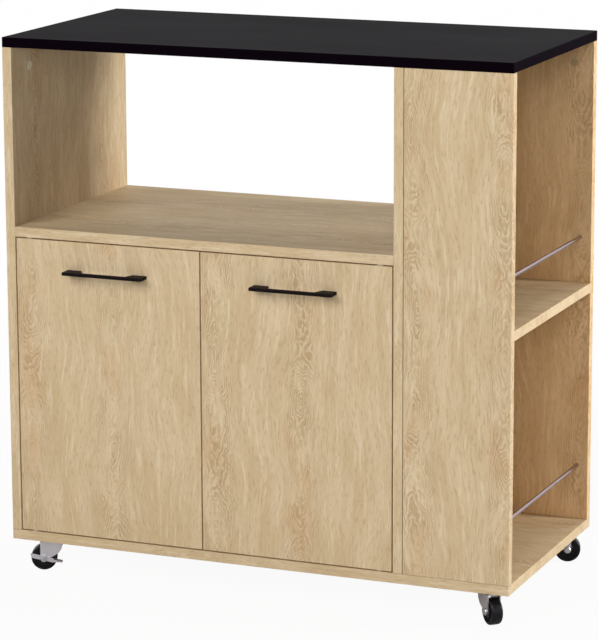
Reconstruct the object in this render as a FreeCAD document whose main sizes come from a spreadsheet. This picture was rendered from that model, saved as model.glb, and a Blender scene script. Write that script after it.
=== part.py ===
"""Microwave cart: laminated boards, two pivoting doors, a side column with rails, and four swivel casters.

Lengths are in millimetres. Every driving dimension is a cell of the spreadsheet "Size".

Frames used below
- World: the floor is z = 0 and the cart stands centred on the origin, doors towards -Y.
- Cabinet: x runs right from the left panel's outer face, y runs back from the front faces, and z runs up
  from the underside of the bottom board. Every board, door and fitting is drawn in it.
- Caster: the origin is where the kingpin meets the bottom board, and the wheel trails towards +x.
"""

import FreeCAD, Part
import os
import Sketcher
from FreeCAD import Placement, Rotation, Vector

# ---------------------------------------------------------------------------------------------------------
# Driving dimensions: name, value, meaning
# ---------------------------------------------------------------------------------------------------------

SIZES = [
    ("width", 800, "whole cart, left to right"),
    ("depth", 390, "boards, front to back"),
    ("board", 15, "thickness of every oak board"),
    ("top_board", 15, "thickness of the worktop"),
    ("side_length", 742, "height of the uprights between bottom board and worktop"),
    ("bay_width", 607, "clear width between left panel and divider"),
    ("cupboard_height", 457, "clear height behind the doors"),
    ("lower_bay_height", 358, "clear height under the column shelf"),
    ("softening", 0.6, "radius on the boards' edges"),
    # Shared by the fittings
    ("running_clearance", 0.05, "radial clearance of everything that turns on a pin"),
    ("seat_clearance", 0.05, "radial clearance of everything that is pushed or screwed in"),
    ("screw_slack", 0.5, "extra width of a hole that a screw only passes through"),
    ("end_play", 0.5, "free space at the bottom of a blind hole"),
    ("tip_chamfer", 0.6, "chamfer at the end of a pin, bolt or screw"),
    # Cupboard back and inner shelf
    ("back_thickness", 3, "hardboard back of the cupboard"),
    ("back_inset", 20, "from the rear edges to the back panel"),
    ("groove_depth", 5, "groove that holds the back panel"),
    ("groove_clearance", 0.15, "free space on each side of the back panel in its groove"),
    ("inner_shelf_rise", 215, "underside of the inner shelf above the bottom board"),
    ("inner_shelf_inset", 60, "front edge of the inner shelf behind the cabinet front"),
    ("inner_shelf_play", 1, "free space at each end of the inner shelf"),
    ("pin_diameter", 5, "shelf pin"),
    ("pin_seat", 8, "depth of a shelf pin's hole"),
    ("pin_reach", 9, "how far a shelf pin stands out of the panel"),
    ("pin_collar", 1.5, "width of the pin's collar against the panel"),
    ("pin_inset", 40, "from the inner shelf's front and rear edges to its pins"),
    ("pin_pitch", 32, "step between the rows of pin holes"),
    # Doors
    ("door_gap", 2, "gap on every side of a door"),
    ("pivot_setback", 20, "from a door's outer edge to its pivot axis"),
    ("pivot_diameter", 5, "door pivot pin"),
    ("pivot_seat", 22, "length of the pivot pin inside the door"),
    ("bush_wall", 1.6, "wall of the pivot bush"),
    ("bush_depth", 9, "length of the bush inside the board"),
    ("bush_flange", 1.7, "thickness of the bush's flange in the door gap"),
    # Handles
    ("handle_length", 130, "over the two feet"),
    ("handle_reach", 21, "from the door to the front of the bar"),
    ("handle_height", 5, "height of the flat bar"),
    ("handle_bar", 6, "front to back thickness of the bar"),
    ("handle_foot", 23, "length of each foot on the door"),
    ("handle_slope", 6, "how far a foot's inner side leans from door to bar"),
    ("handle_drop", 45, "from a door's top edge to the bar's middle"),
    ("handle_spacing", 96, "between the two screws"),
    ("handle_screw", 3, "handle screw"),
    ("handle_thread", 11, "how far the screw reaches into the foot"),
    ("handle_screw_head", 6.5, "head of the handle screw"),
    ("handle_screw_head_height", 2, "head of the handle screw"),
    ("handle_rounding", 0.8, "radius on the handle's edges"),
    # Magnetic catches
    ("catch_length", 44, "catch housing, left to right"),
    ("catch_depth", 15, "catch housing, front to back"),
    ("catch_height", 12, "catch housing, top to bottom"),
    ("catch_gap", 0.4, "from the strike plate to the catch"),
    ("catch_inset", 45, "from a door's free edge to the middle of its catch"),
    ("magnet_length", 26, "magnet, left to right"),
    ("magnet_depth", 8, "magnet, front to back"),
    ("magnet_height", 7, "magnet, top to bottom"),
    ("catch_screw_spacing", 34, "between the two screws of a catch"),
    ("strike_length", 32, "strike plate, left to right"),
    ("strike_height", 22, "strike plate, top to bottom"),
    ("strike_inset", 1, "from a door's top edge to its strike plate"),
    ("strike_screw_rise", 5, "from the strike plate's lower edge to its screw"),
    ("strike_thickness", 1, "strike plate"),
    ("small_screw", 3, "screws of the catches and strike plates"),
    ("small_screw_thread", 9, "length of a small screw in the board"),
    ("small_head", 5.6, "head of a small screw"),
    ("small_head_height", 1.4, "head of a small screw"),
    # Rails of the column
    ("rail_diameter", 6, "bright metal rail"),
    ("rail_inset", 17.5, "from the right end to the rail's axis"),
    ("upper_rail_rise", 70, "upper rail above the column shelf"),
    ("lower_rail_rise", 85, "lower rail above the bottom board"),
    ("rail_seat", 8, "depth of the rail's hole in each panel"),
    # Cam fittings and dowels
    ("cam_diameter", 12, "cam nut"),
    ("cam_depth", 11.5, "cam nut"),
    ("cam_setback", 33, "from the joint to the cam's axis"),
    ("cam_edge", 58, "from the front or rear edge to a cam in an upright or shelf"),
    ("column_cam_edge", 30, "from the column's sides to the cams under the worktop"),
    ("bolt_diameter", 5, "cam bolt"),
    ("bolt_bore", 7, "bore in the board's edge for a cam bolt"),
    ("bolt_thread", 10, "threaded end of a cam bolt"),
    ("bolt_neck", 3.5, "neck behind the cam bolt's head"),
    ("bolt_head", 6.4, "head of a cam bolt"),
    ("bolt_head_length", 2.2, "head of a cam bolt"),
    ("cam_cross_length", 8, "cross-shaped slot for the screwdriver"),
    ("cam_cross_width", 1.2, "the same slot"),
    ("cam_cross_depth", 2, "the same slot"),
    ("cap_diameter", 13.5, "cover cap over a cam"),
    ("cap_thickness", 1, "cover cap over a cam"),
    ("dowel_diameter", 8, "wooden dowel"),
    ("dowel_in_face", 10, "dowel's depth in a board's face"),
    ("dowel_in_edge", 20, "dowel's depth in a board's edge"),
    ("dowel_edge", 110, "from the front or rear edge to a dowel"),
    ("base_screw", 6, "screw from the bottom board into an upright"),
    ("base_screw_length", 50, "whole length"),
    ("base_head", 10, "countersunk head"),
    ("base_socket", 3, "width of the socket in its head"),
    ("base_socket_depth", 1.2, "depth of that socket"),
    ("base_point", 4, "length of its pointed end"),
    ("base_screw_edge", 60, "from the front or rear edge to a base screw"),
    ("column_screw_edge", 40, "from the column's sides to the base screws"),
    # Casters
    ("wheel_diameter", 40, "caster wheel"),
    ("wheel_width", 17, "caster wheel"),
    ("wheel_rounding", 2.5, "radius at the tread's edges"),
    ("wheel_dish", 2, "depth of the ring sunk into each side of a wheel"),
    ("wheel_rim", 15, "outer radius of that ring"),
    ("wheel_hub", 8, "inner radius of that ring"),
    ("wheel_side_gap", 0.4, "between the wheel and each cheek of the fork"),
    ("axle_drop", 32, "from the bottom board down to the axle"),
    ("trail", 14.5, "from the kingpin back to the axle"),
    ("axle_diameter", 6, "axle bolt"),
    ("axle_head", 10.5, "head of the axle bolt"),
    ("axle_head_height", 2.5, "head of the axle bolt"),
    ("axle_head_chamfer", 1, "chamfer round that head"),
    ("nut_flats", 9, "axle nut across its flats"),
    ("nut_height", 4, "axle nut"),
    ("plate_side", 40, "square mounting plate"),
    ("plate_thickness", 1.8, "mounting plate"),
    ("plate_corner", 4, "corner radius of the plate"),
    ("plate_screw_spacing", 30, "between the plate's screws"),
    ("race_radius", 9, "raised ring that holds the balls"),
    ("race_height", 1.5, "raised ring that holds the balls"),
    ("race_gap", 0.6, "between the plate's ring and the fork's ring"),
    ("ball_diameter", 3, "swivel ball"),
    ("ball_circle", 6.2, "radius of the circle of balls"),
    ("ball_count", 8, "balls in a swivel"),
    ("kingpin_diameter", 6, "kingpin rivet"),
    ("kingpin_head", 9, "both heads of the kingpin"),
    ("kingpin_head_height", 1.2, "both heads of the kingpin"),
    ("kingpin_play", 0.1, "between the fork and the kingpin's lower head"),
    ("fork_sheet", 1.8, "sheet metal of the fork"),
    ("fork_front", 13, "fork's reach ahead of the kingpin"),
    ("fork_brow", 11.5, "height of the fork's front edge"),
    ("fork_jaw_front", 7.5, "corner of the cheek below that edge, ahead of the kingpin"),
    ("fork_jaw_drop", 24.7, "that corner's place below the board"),
    ("fork_chin_back", 1.7, "lowest corner of the cheek ahead of the axle, behind the kingpin"),
    ("fork_chin_drop", 30, "that corner's place below the board"),
    ("fork_eye", 5.5, "radius of the cheek round the axle"),
    ("fork_bend", 1.5, "outer radius where the cheeks bend down"),
    ("caster_screw", 3.5, "screw of the mounting plate"),
    ("caster_screw_thread", 11, "its length in the board"),
    ("caster_screw_head", 7, "its head"),
    ("caster_screw_head_height", 2, "its head"),
    ("lever_sheet", 1.5, "sheet metal of the brake lever"),
    ("lever_gap", 0.3, "free space on each side of the brake lever"),
    ("lever_heel", 21, "lever's reach behind the axle"),
    ("lever_toe", 29, "lever's reach ahead of the axle"),
    ("lever_width", 7, "width of the lever"),
    ("lever_pedal", 15, "length of the pedal along the lever"),
    ("lever_pedal_reach", 9, "pedal's reach out from the lever"),
    ("lever_slope", 13, "lever's slope at rest, in degrees"),
    # Where the casters stand and which way they trail at rest (degrees anticlockwise from +X)
    ("caster_left", 52, "left kingpins from the left side"),
    ("caster_right", 42, "right kingpins from the right side"),
    ("caster_front", 34, "front kingpins from the front"),
    ("caster_rear", 26, "rear kingpins from the rear"),
    ("front_left_turn", 202, "rest direction"),
    ("front_right_turn", 314, "rest direction"),
    ("rear_left_turn", 150, "rest direction"),
    ("rear_right_turn", 17, "rest direction"),
]

# Places that several pieces share, in cabinet coordinates
BAY_LEFT = "Size.board"
BAY_RIGHT = "(Size.board + Size.bay_width)"
COLUMN_LEFT = "(2 * Size.board + Size.bay_width)"
RIGHT_END = "Size.width"
FRONT_INNER = "Size.board"
REAR_INNER = "(Size.depth - Size.board)"
BASE_TOP = "Size.board"
SIDE_TOP = "(Size.board + Size.side_length)"
SHELF_UNDER = "(Size.board + Size.cupboard_height)"
SHELF_TOP = "(2 * Size.board + Size.cupboard_height)"
COLUMN_SHELF_UNDER = "(Size.board + Size.lower_bay_height)"
COLUMN_SHELF_TOP = "(2 * Size.board + Size.lower_bay_height)"
INNER_SHELF_UNDER = "(Size.board + Size.inner_shelf_rise)"
BACK_REAR = "(Size.depth - Size.back_inset)"
BACK_FRONT = "(Size.depth - Size.back_inset - Size.back_thickness)"
DOOR_WIDTH = "((Size.bay_width - 3 * Size.door_gap) / 2)"
DOOR_LOW = "(Size.board + Size.door_gap)"
DOOR_HIGH = "(Size.board + Size.cupboard_height - Size.door_gap)"
STRIKE_TOP = "(Size.board + Size.cupboard_height - Size.door_gap - Size.strike_inset)"
STRIKE_SCREW_LEVEL = f"({STRIKE_TOP} - Size.strike_height + Size.strike_screw_rise)"
HALF_BOARD = "(Size.board / 2)"

# Places that a caster's pieces share, in caster coordinates
PLATE_UNDER = "(-Size.plate_thickness)"
UPPER_RACE = "(-Size.plate_thickness - Size.race_height)"
BALL_LEVEL = "(-Size.plate_thickness - Size.race_height - Size.race_gap / 2)"
LOWER_RACE = "(-Size.plate_thickness - Size.race_height - Size.race_gap)"
WEB_TOP = "(-Size.plate_thickness - 2 * Size.race_height - Size.race_gap)"
WEB_UNDER = "(-Size.plate_thickness - 2 * Size.race_height - Size.race_gap - Size.fork_sheet)"
AXLE_LEVEL = "(-Size.axle_drop)"
CHEEK_INNER = "(Size.wheel_width / 2 + Size.wheel_side_gap)"
CHEEK_OUTER = "(Size.wheel_width / 2 + Size.wheel_side_gap + Size.fork_sheet)"

# Each caster's kingpin, in cabinet coordinates
KINGPINS = {
    "front_left": ("Size.caster_left", "Size.caster_front"),
    "front_right": ("(Size.width - Size.caster_right)", "Size.caster_front"),
    "rear_left": ("Size.caster_left", "(Size.depth - Size.caster_rear)"),
    "rear_right": ("(Size.width - Size.caster_right)", "(Size.depth - Size.caster_rear)"),
}
BRAKED = ("front_left", "rear_left")

# Head diameter and height of the smallest screws
SMALL_HEAD = ("Size.small_head", "Size.small_head_height")

# Half the length of the construction line that an outline is turned about
AXIS_REACH = 100

DIRECTIONS = {
    "+X": Vector(1, 0, 0),
    "-X": Vector(-1, 0, 0),
    "+Y": Vector(0, 1, 0),
    "-Y": Vector(0, -1, 0),
    "+Z": Vector(0, 0, 1),
    "-Z": Vector(0, 0, -1),
}
OPPOSITE = {"+": "-", "-": "+"}

# For each axis: the origin plane square to it, and whether that plane's normal runs along the axis
PLANES = {"X": ("YZ_Plane", "+"), "Y": ("XZ_Plane", "-"), "Z": ("XY_Plane", "+")}

doc = FreeCAD.newDocument("microwave_cart")
sheet = doc.addObject("Spreadsheet::Sheet", "Size")
NODES = {}


def fill_sheet():
    """One row for each driving dimension: its name, its value under that alias, and what it measures."""
    for row, (name, number, meaning) in enumerate(SIZES, start=1):
        sheet.set(f"A{row}", name)
        sheet.set(f"B{row}", str(number))
        sheet.set(f"C{row}", meaning)
        sheet.setAlias(f"B{row}", name)
    doc.recompute()


def value(expression):
    """The number that an expression on the sheet's cells stands for."""
    return float(sheet.evalExpression(str(expression)))


def opposite(direction):
    return OPPOSITE[direction[0]] + direction[1]


def moved(point, direction, distance):
    """The point, three expressions, moved by an expression along a direction such as "-Z"."""
    place = list(point)
    axis = "XYZ".index(direction[1])
    place[axis] = f"({place[axis]} {direction[0]} {distance})"
    return tuple(place)


# ---------------------------------------------------------------------------------------------------------
# Drawing helpers
# ---------------------------------------------------------------------------------------------------------


def new_body(label, written=True):
    """An empty body, which is a part of its own unless it is only a pattern or a piece of a part."""
    body = doc.addObject("PartDesign::Body", label)
    body.Label = label
    if written:
        NODES[label] = body
    return body


def sketch_on(body, name, axis, level):
    """A sketch square to an axis, at a level along it. Its own u and v are the other two axes in order."""
    plane, normal = PLANES[axis]
    sketch = body.newObject("Sketcher::SketchObject", name)
    support = next(f for f in body.Origin.OriginFeatures if f.Role == plane)
    sketch.AttachmentSupport = [(support, "")]
    sketch.MapMode = "FlatFace"
    sketch.setExpression(".AttachmentOffset.Base.z", f"{normal}({level})")
    return sketch


def pin_point(sketch, geometry, position, point):
    """Ties a vertex or centre to two expressions measured from the sketch's origin."""
    for kind, distance in zip(("DistanceX", "DistanceY"), point):
        rule = Sketcher.Constraint(kind, -1, 1, geometry, position, value(distance))
        index = sketch.addConstraint(rule)
        sketch.setExpression(f"Constraints[{index}]", str(distance))


def draw_outline(sketch, points):
    """A closed outline of straight lines through the points, each a pair of expressions."""
    places = [Vector(value(u), value(v), 0) for u, v in points]
    count = len(points)
    first = sketch.GeometryCount
    for i in range(count):
        sketch.addGeometry(Part.LineSegment(places[i], places[(i + 1) % count]), False)
    for i in range(count):
        following = first + (i + 1) % count
        sketch.addConstraint(Sketcher.Constraint("Coincident", first + i, 2, following, 1))
    for i, point in enumerate(points):
        pin_point(sketch, first + i, 1, point)


def draw_rectangle(sketch, low, high):
    draw_outline(sketch, [low, (high[0], low[1]), high, (low[0], high[1])])


def draw_circle(sketch, centre, diameter):
    place = Vector(value(centre[0]), value(centre[1]), 0)
    circle = Part.Circle(place, Vector(0, 0, 1), value(diameter) / 2)
    index = sketch.addGeometry(circle, False)
    pin_point(sketch, index, 3, centre)
    rule = sketch.addConstraint(Sketcher.Constraint("Diameter", index, value(diameter)))
    sketch.setExpression(f"Constraints[{rule}]", str(diameter))


def pad(body, sketch, length, towards=None, both_sides=False):
    """Grows a sketch into a solid, towards a direction such as "+Y" or to both sides of its plane."""
    feature = body.newObject("PartDesign::Pad", sketch.Name + "_pad")
    feature.Profile = sketch
    feature.setExpression("Length", str(length))
    if both_sides:
        feature.Midplane = True
    else:
        feature.Reversed = towards[0] != PLANES[towards[1]][1]
    doc.recompute()
    return feature


def pocket(body, sketch, depth, towards, both_sides=False):
    """Cuts a sketch into the body towards a direction, and makes sure that something was cut."""
    before = body.Shape.Volume
    feature = body.newObject("PartDesign::Pocket", sketch.Name + "_cut")
    feature.Profile = sketch
    feature.setExpression("Length", str(depth))
    if both_sides:
        feature.Midplane = True
    else:
        feature.Reversed = towards[0] == PLANES[towards[1]][1]
    doc.recompute()
    if body.Shape.Volume >= before:
        raise RuntimeError(f"{body.Label}: {feature.Name} cuts nothing")
    return feature


def drill(body, name, towards, points, diameter, depth):
    """Round holes of one size, each from a point in space and all towards one direction."""
    axis = "XYZ".index(towards[1])
    sketch = sketch_on(body, f"{body.Name}_{name}", towards[1], points[0][axis])
    for point in points:
        draw_circle(sketch, point[:axis] + point[axis + 1 :], diameter)
    return pocket(body, sketch, depth, towards)


def turn(body, name, axis, level, outline, centre="0", cut=False):
    """Revolves an outline of (u, v) points, or one (centre, diameter) circle, about the line u = centre."""
    sketch = sketch_on(body, f"{body.Name}_{name}", axis, level)
    low = Vector(value(centre), -AXIS_REACH, 0)
    high = Vector(value(centre), AXIS_REACH, 0)
    line = sketch.addGeometry(Part.LineSegment(low, high), True)
    sketch.addConstraint(Sketcher.Constraint("Vertical", line))
    pin_point(sketch, line, 1, (centre, -AXIS_REACH))
    sketch.addConstraint(Sketcher.Constraint("DistanceY", line, 1, line, 2, 2 * AXIS_REACH))
    if len(outline) == 1:
        draw_circle(sketch, *outline[0])
    else:
        draw_outline(sketch, outline)
    kind = "Groove" if cut else "Revolution"
    feature = body.newObject(f"PartDesign::{kind}", f"{sketch.Name}_turned")
    feature.Profile = sketch
    feature.ReferenceAxis = (sketch, ["Axis0"])
    feature.Angle = 360
    doc.recompute()
    return feature


def round_edges(body, name, feature, radius, wanted=None):
    """A fillet on the feature's edges; wanted(edge) picks them, and without it all are rounded."""
    edges = [f"Edge{i}" for i, edge in enumerate(feature.Shape.Edges, start=1) if not wanted or wanted(edge)]
    fillet = body.newObject("PartDesign::Fillet", f"{body.Name}_{name}")
    fillet.Base = (feature, edges)
    fillet.setExpression("Radius", str(radius))
    doc.recompute()
    return fillet


def runs_along(edge, direction):
    """Whether a straight edge runs along X, Y or Z."""
    if not isinstance(edge.Curve, Part.Line):
        return False
    return abs(edge.Curve.Direction.dot(DIRECTIONS["+" + direction])) > 0.999


def near(number, expression):
    return abs(number - value(expression)) < 0.01


def place_in_cabinet(piece):
    """Puts a piece that is drawn in cabinet coordinates into the world."""
    piece.setExpression(".Placement.Base.x", "-Size.width / 2")
    piece.setExpression(".Placement.Base.y", "-(Size.depth - Size.handle_reach) / 2")
    piece.setExpression(".Placement.Base.z", "Size.axle_drop + Size.wheel_diameter / 2")


def cabinet_frame():
    """The same placement as numbers, for pieces that are copies of a pattern."""
    x = value("-Size.width / 2")
    y = value("-(Size.depth - Size.handle_reach) / 2")
    z = value("Size.axle_drop + Size.wheel_diameter / 2")
    return Placement(Vector(x, y, z), Rotation())


def board(label, x, y, z, across):
    """A rectangular board between the (low, high) expressions, padded through its thickness."""
    body = new_body(label)
    spans = {"X": x, "Y": y, "Z": z}
    u, v = [spans[axis] for axis in "XYZ" if axis != across]
    thickness = spans[across]
    sketch = sketch_on(body, label + "_face", across, thickness[0])
    draw_rectangle(sketch, (u[0], v[0]), (u[1], v[1]))
    block = pad(body, sketch, f"({thickness[1]} - {thickness[0]})", "+" + across)
    round_edges(body, "edges", block, "Size.softening")
    place_in_cabinet(body)
    return body


def group_of(label, pattern, places):
    """One node made of separate copies of a pattern solid.

    Each place is (point in cabinet coordinates, direction of the pattern's z, direction of its x).
    """
    copies = []
    for point, z_direction, x_direction in places:
        z_axis = DIRECTIONS[z_direction]
        x_axis = DIRECTIONS[x_direction]
        turned = Rotation(x_axis, z_axis.cross(x_axis), z_axis, "ZXY")
        place = Placement(Vector(*[value(c) for c in point]), turned)
        copy = pattern.Shape.copy()
        copy.Placement = cabinet_frame().multiply(place)
        copies.append(copy)
    group = doc.addObject("Part::Feature", label)
    group.Label = label
    group.Shape = Part.makeCompound(copies)
    NODES[label] = group
    return group


def compound_of(label, pieces):
    """One node made of a few bodies that were drawn in place."""
    group = doc.addObject("Part::Compound", label)
    group.Label = label
    group.Links = pieces
    NODES[label] = group
    doc.recompute()
    return group


def pan_screw(label, diameter, length, head):
    """A pan-head screw pattern: z = 0 under the head, which rises towards +z, and the shank below it."""
    screw = new_body(label, written=False)
    shank = f"({diameter} / 2)"
    head_diameter, head_height = head
    rim = f"({head_diameter} / 2)"
    outline = [
        ("0", f"(-{length})"),
        (f"({shank} - Size.tip_chamfer)", f"(-{length})"),
        (shank, f"(Size.tip_chamfer - {length})"),
        (shank, "0"),
        (rim, "0"),
        (rim, f"({head_height} / 2)"),
        (f"({rim} - {head_height} / 2)", head_height),
        ("0", head_height),
    ]
    turn(screw, "profile", "Y", "0", outline)
    return screw


# ---------------------------------------------------------------------------------------------------------
# Boards
# ---------------------------------------------------------------------------------------------------------


def make_boards():
    """The nine thick boards, before they are drilled."""
    upright = (BASE_TOP, SIDE_TOP)
    full_depth = ("0", "Size.depth")
    bay = (BAY_LEFT, BAY_RIGHT)
    column = (COLUMN_LEFT, RIGHT_END)
    across = ("0", RIGHT_END)
    between_panels = (FRONT_INNER, REAR_INNER)
    top_levels = (SIDE_TOP, f"({SIDE_TOP} + Size.top_board)")
    inner_width = (f"({BAY_LEFT} + Size.inner_shelf_play)", f"({BAY_RIGHT} - Size.inner_shelf_play)")
    inner_depth = ("Size.inner_shelf_inset", f"({BACK_FRONT} - Size.inner_shelf_play)")
    inner_levels = (INNER_SHELF_UNDER, f"({INNER_SHELF_UNDER} + Size.board)")
    places = {
        "worktop": (across, full_depth, top_levels, "Z"),
        "bottom_board": (across, full_depth, ("0", BASE_TOP), "Z"),
        "left_side_panel": (("0", BAY_LEFT), full_depth, upright, "X"),
        "divider_panel": ((BAY_RIGHT, COLUMN_LEFT), full_depth, upright, "X"),
        "column_front_panel": (column, ("0", FRONT_INNER), upright, "Y"),
        "column_rear_panel": (column, (REAR_INNER, "Size.depth"), upright, "Y"),
        "microwave_shelf": (bay, full_depth, (SHELF_UNDER, SHELF_TOP), "Z"),
        "column_shelf": (column, between_panels, (COLUMN_SHELF_UNDER, COLUMN_SHELF_TOP), "Z"),
        "cupboard_shelf": (inner_width, inner_depth, inner_levels, "Z"),
    }
    return {label: board(label, *place) for label, place in places.items()}


def make_back(boards):
    """The thin cupboard back, and the groove for it in each of the four boards round it."""
    into = "(Size.groove_depth - Size.groove_clearance)"
    body = new_body("cupboard_back")
    sketch = sketch_on(body, "cupboard_back_face", "Y", BACK_FRONT)
    low = (f"({BAY_LEFT} - {into})", f"({BASE_TOP} - {into})")
    high = (f"({BAY_RIGHT} + {into})", f"({SHELF_UNDER} + {into})")
    draw_rectangle(sketch, low, high)
    pad(body, sketch, "Size.back_thickness", "+Y")
    place_in_cabinet(body)

    front = f"({BACK_FRONT} - Size.groove_clearance)"
    rear = f"({BACK_REAR} + Size.groove_clearance)"
    bottom = f"({BASE_TOP} - Size.groove_depth)"
    top = f"({SHELF_UNDER} + Size.groove_depth)"
    left = f"({BAY_LEFT} - Size.groove_depth)"
    right = f"({BAY_RIGHT} + Size.groove_depth)"
    grooves = [
        ("left_side_panel", "-X", BAY_LEFT, (front, bottom), (rear, top)),
        ("divider_panel", "+X", BAY_RIGHT, (front, bottom), (rear, top)),
        ("bottom_board", "-Z", BASE_TOP, (left, front), (right, rear)),
        ("microwave_shelf", "+Z", SHELF_UNDER, (BAY_LEFT, front), (BAY_RIGHT, rear)),
    ]
    for label, towards, level, low, high in grooves:
        sketch = sketch_on(boards[label], label + "_groove", towards[1], level)
        draw_rectangle(sketch, low, high)
        pocket(boards[label], sketch, "Size.groove_depth", towards)


# ---------------------------------------------------------------------------------------------------------
# Fittings that hold the boards together
# ---------------------------------------------------------------------------------------------------------


def both_ends(inset):
    """Two y places, the same distance from the front and from the rear edge."""
    return (inset, f"(Size.depth - {inset})")


def cam_rows():
    """Each row of cams: carrying board, mating board, face they sit in, bolts' direction, and places."""
    under_top = f"({SIDE_TOP} - Size.cam_setback)"
    left_cam = f"({BAY_LEFT} + Size.cam_setback)"
    right_cam = f"({BAY_RIGHT} - Size.cam_setback)"
    column_cam = f"({COLUMN_LEFT} + Size.cam_setback)"
    column_sides = (f"({COLUMN_LEFT} + Size.column_cam_edge)", f"({RIGHT_END} - Size.column_cam_edge)")
    panel_levels = (f"({BASE_TOP} + 2 * Size.cam_edge)", f"({SIDE_TOP} - 2 * Size.cam_edge)")
    inner_ends = (f"({FRONT_INNER} + Size.cam_edge)", f"({REAR_INNER} - Size.cam_edge)")
    shelf_cam_x = f"({RIGHT_END} - Size.cam_edge)"
    under_column_shelf = [(column_cam, y, COLUMN_SHELF_UNDER) for y in inner_ends]
    edges = both_ends("Size.cam_edge")
    rows = [
        ("left_side_panel", "worktop", "+X", "+Z", [(BAY_LEFT, y, under_top) for y in edges]),
        ("divider_panel", "worktop", "+X", "+Z", [(COLUMN_LEFT, y, under_top) for y in edges]),
        ("microwave_shelf", "left_side_panel", "-Z", "-X", [(left_cam, y, SHELF_UNDER) for y in edges]),
        ("microwave_shelf", "divider_panel", "-Z", "+X", [(right_cam, y, SHELF_UNDER) for y in edges]),
        ("column_shelf", "divider_panel", "-Z", "-X", under_column_shelf),
    ]
    for panel, face, level, towards_panel in (
        ("column_front_panel", "+Y", FRONT_INNER, "-Y"),
        ("column_rear_panel", "-Y", REAR_INNER, "+Y"),
    ):
        rows.append((panel, "worktop", face, "+Z", [(x, level, under_top) for x in column_sides]))
        rows.append((panel, "divider_panel", face, "-X", [(column_cam, level, z) for z in panel_levels]))
        shelf_cam = moved((shelf_cam_x, level, COLUMN_SHELF_UNDER), face, "Size.cam_setback")
        rows.append(("column_shelf", panel, "-Z", towards_panel, [shelf_cam]))
    return rows


def make_cam_patterns():
    """The cam nut and the cam bolt. z points out of the face that the nut sits in, x along the bolt."""
    nut = new_body("cam_nut_pattern", written=False)
    disc = sketch_on(nut, "cam_nut_disc", "Z", "-Size.cam_depth")
    draw_circle(disc, ("0", "0"), "Size.cam_diameter")
    pad(nut, disc, "Size.cam_depth", "+Z")
    mouth = sketch_on(nut, "cam_nut_mouth", "X", "-Size.bolt_head_length")
    draw_circle(mouth, ("0", f"(-{HALF_BOARD})"), "Size.bolt_bore")
    pocket(nut, mouth, "Size.cam_diameter", "+X")
    long_half = "(Size.cam_cross_length / 2)"
    short_half = "(Size.cam_cross_width / 2)"
    for name, along, across in (("slot_a", long_half, short_half), ("slot_b", short_half, long_half)):
        slot = sketch_on(nut, "cam_nut_" + name, "Z", "0")
        draw_rectangle(slot, (f"(-{along})", f"(-{across})"), (along, across))
        pocket(nut, slot, "Size.cam_cross_depth", "-Z")

    bolt = new_body("cam_bolt_pattern", written=False)
    shank = "(Size.bolt_diameter / 2)"
    neck = "(Size.bolt_neck / 2)"
    head = "(Size.bolt_head / 2)"
    tip = "(Size.cam_setback + Size.bolt_thread)"
    rim = "(Size.cam_diameter / 2)"
    head_low = "(-Size.bolt_head_length / 2)"
    head_high = "(Size.bolt_head_length / 2)"
    outline = [
        ("0", head_low),
        (head, head_low),
        (head, head_high),
        (neck, head_high),
        (neck, f"({rim} + {neck} - {shank})"),
        (shank, rim),
        (shank, f"({tip} - Size.tip_chamfer)"),
        (f"({shank} - Size.tip_chamfer)", tip),
        ("0", tip),
    ]
    turn(bolt, "profile", "Y", "0", outline)
    return nut, bolt


def make_cam_joints(boards):
    """Drills every cam row, then sets the nuts and bolts into the holes."""
    nut, bolt = make_cam_patterns()
    nut_places = []
    bolt_places = []
    pocket_diameter = "(Size.cam_diameter + 2 * Size.seat_clearance)"
    pilot_diameter = "(Size.bolt_diameter + 2 * Size.seat_clearance)"
    for number, (carrier, mate, face, towards, points) in enumerate(cam_rows(), start=1):
        inward = opposite(face)
        inside = [moved(point, inward, HALF_BOARD) for point in points]
        joint = [moved(point, towards, "Size.cam_setback") for point in inside]
        drill(boards[carrier], f"cams{number}", inward, points, pocket_diameter, "Size.cam_depth")
        backwards = opposite(towards)
        drill(boards[carrier], f"bores{number}", backwards, joint, "Size.bolt_bore", "Size.cam_setback")
        drill(boards[mate], f"pilots{number}", towards, joint, pilot_diameter, "Size.bolt_thread")
        nut_places += [(point, face, towards) for point in points]
        bolt_places += [(point, towards, face) for point in inside]
    group_of("cam_nuts", nut, nut_places)
    group_of("cam_bolts", bolt, bolt_places)


def make_cam_caps():
    """Flat caps on the two cams that face the microwave bay."""
    cap = new_body("cam_cap_pattern", written=False)
    disc = sketch_on(cap, "cam_cap_disc", "Z", "0")
    draw_circle(disc, ("0", "0"), "Size.cap_diameter")
    block = pad(cap, disc, "Size.cap_thickness", "+Z")
    top = value("Size.cap_thickness")
    round_edges(cap, "rim", block, "Size.cap_thickness / 2", lambda e: abs(e.CenterOfMass.z - top) < 0.01)
    level = f"({SIDE_TOP} - Size.cam_setback)"
    group_of("cam_caps", cap, [((BAY_LEFT, y, level), "+X", "+Z") for y in both_ends("Size.cam_edge")])


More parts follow.
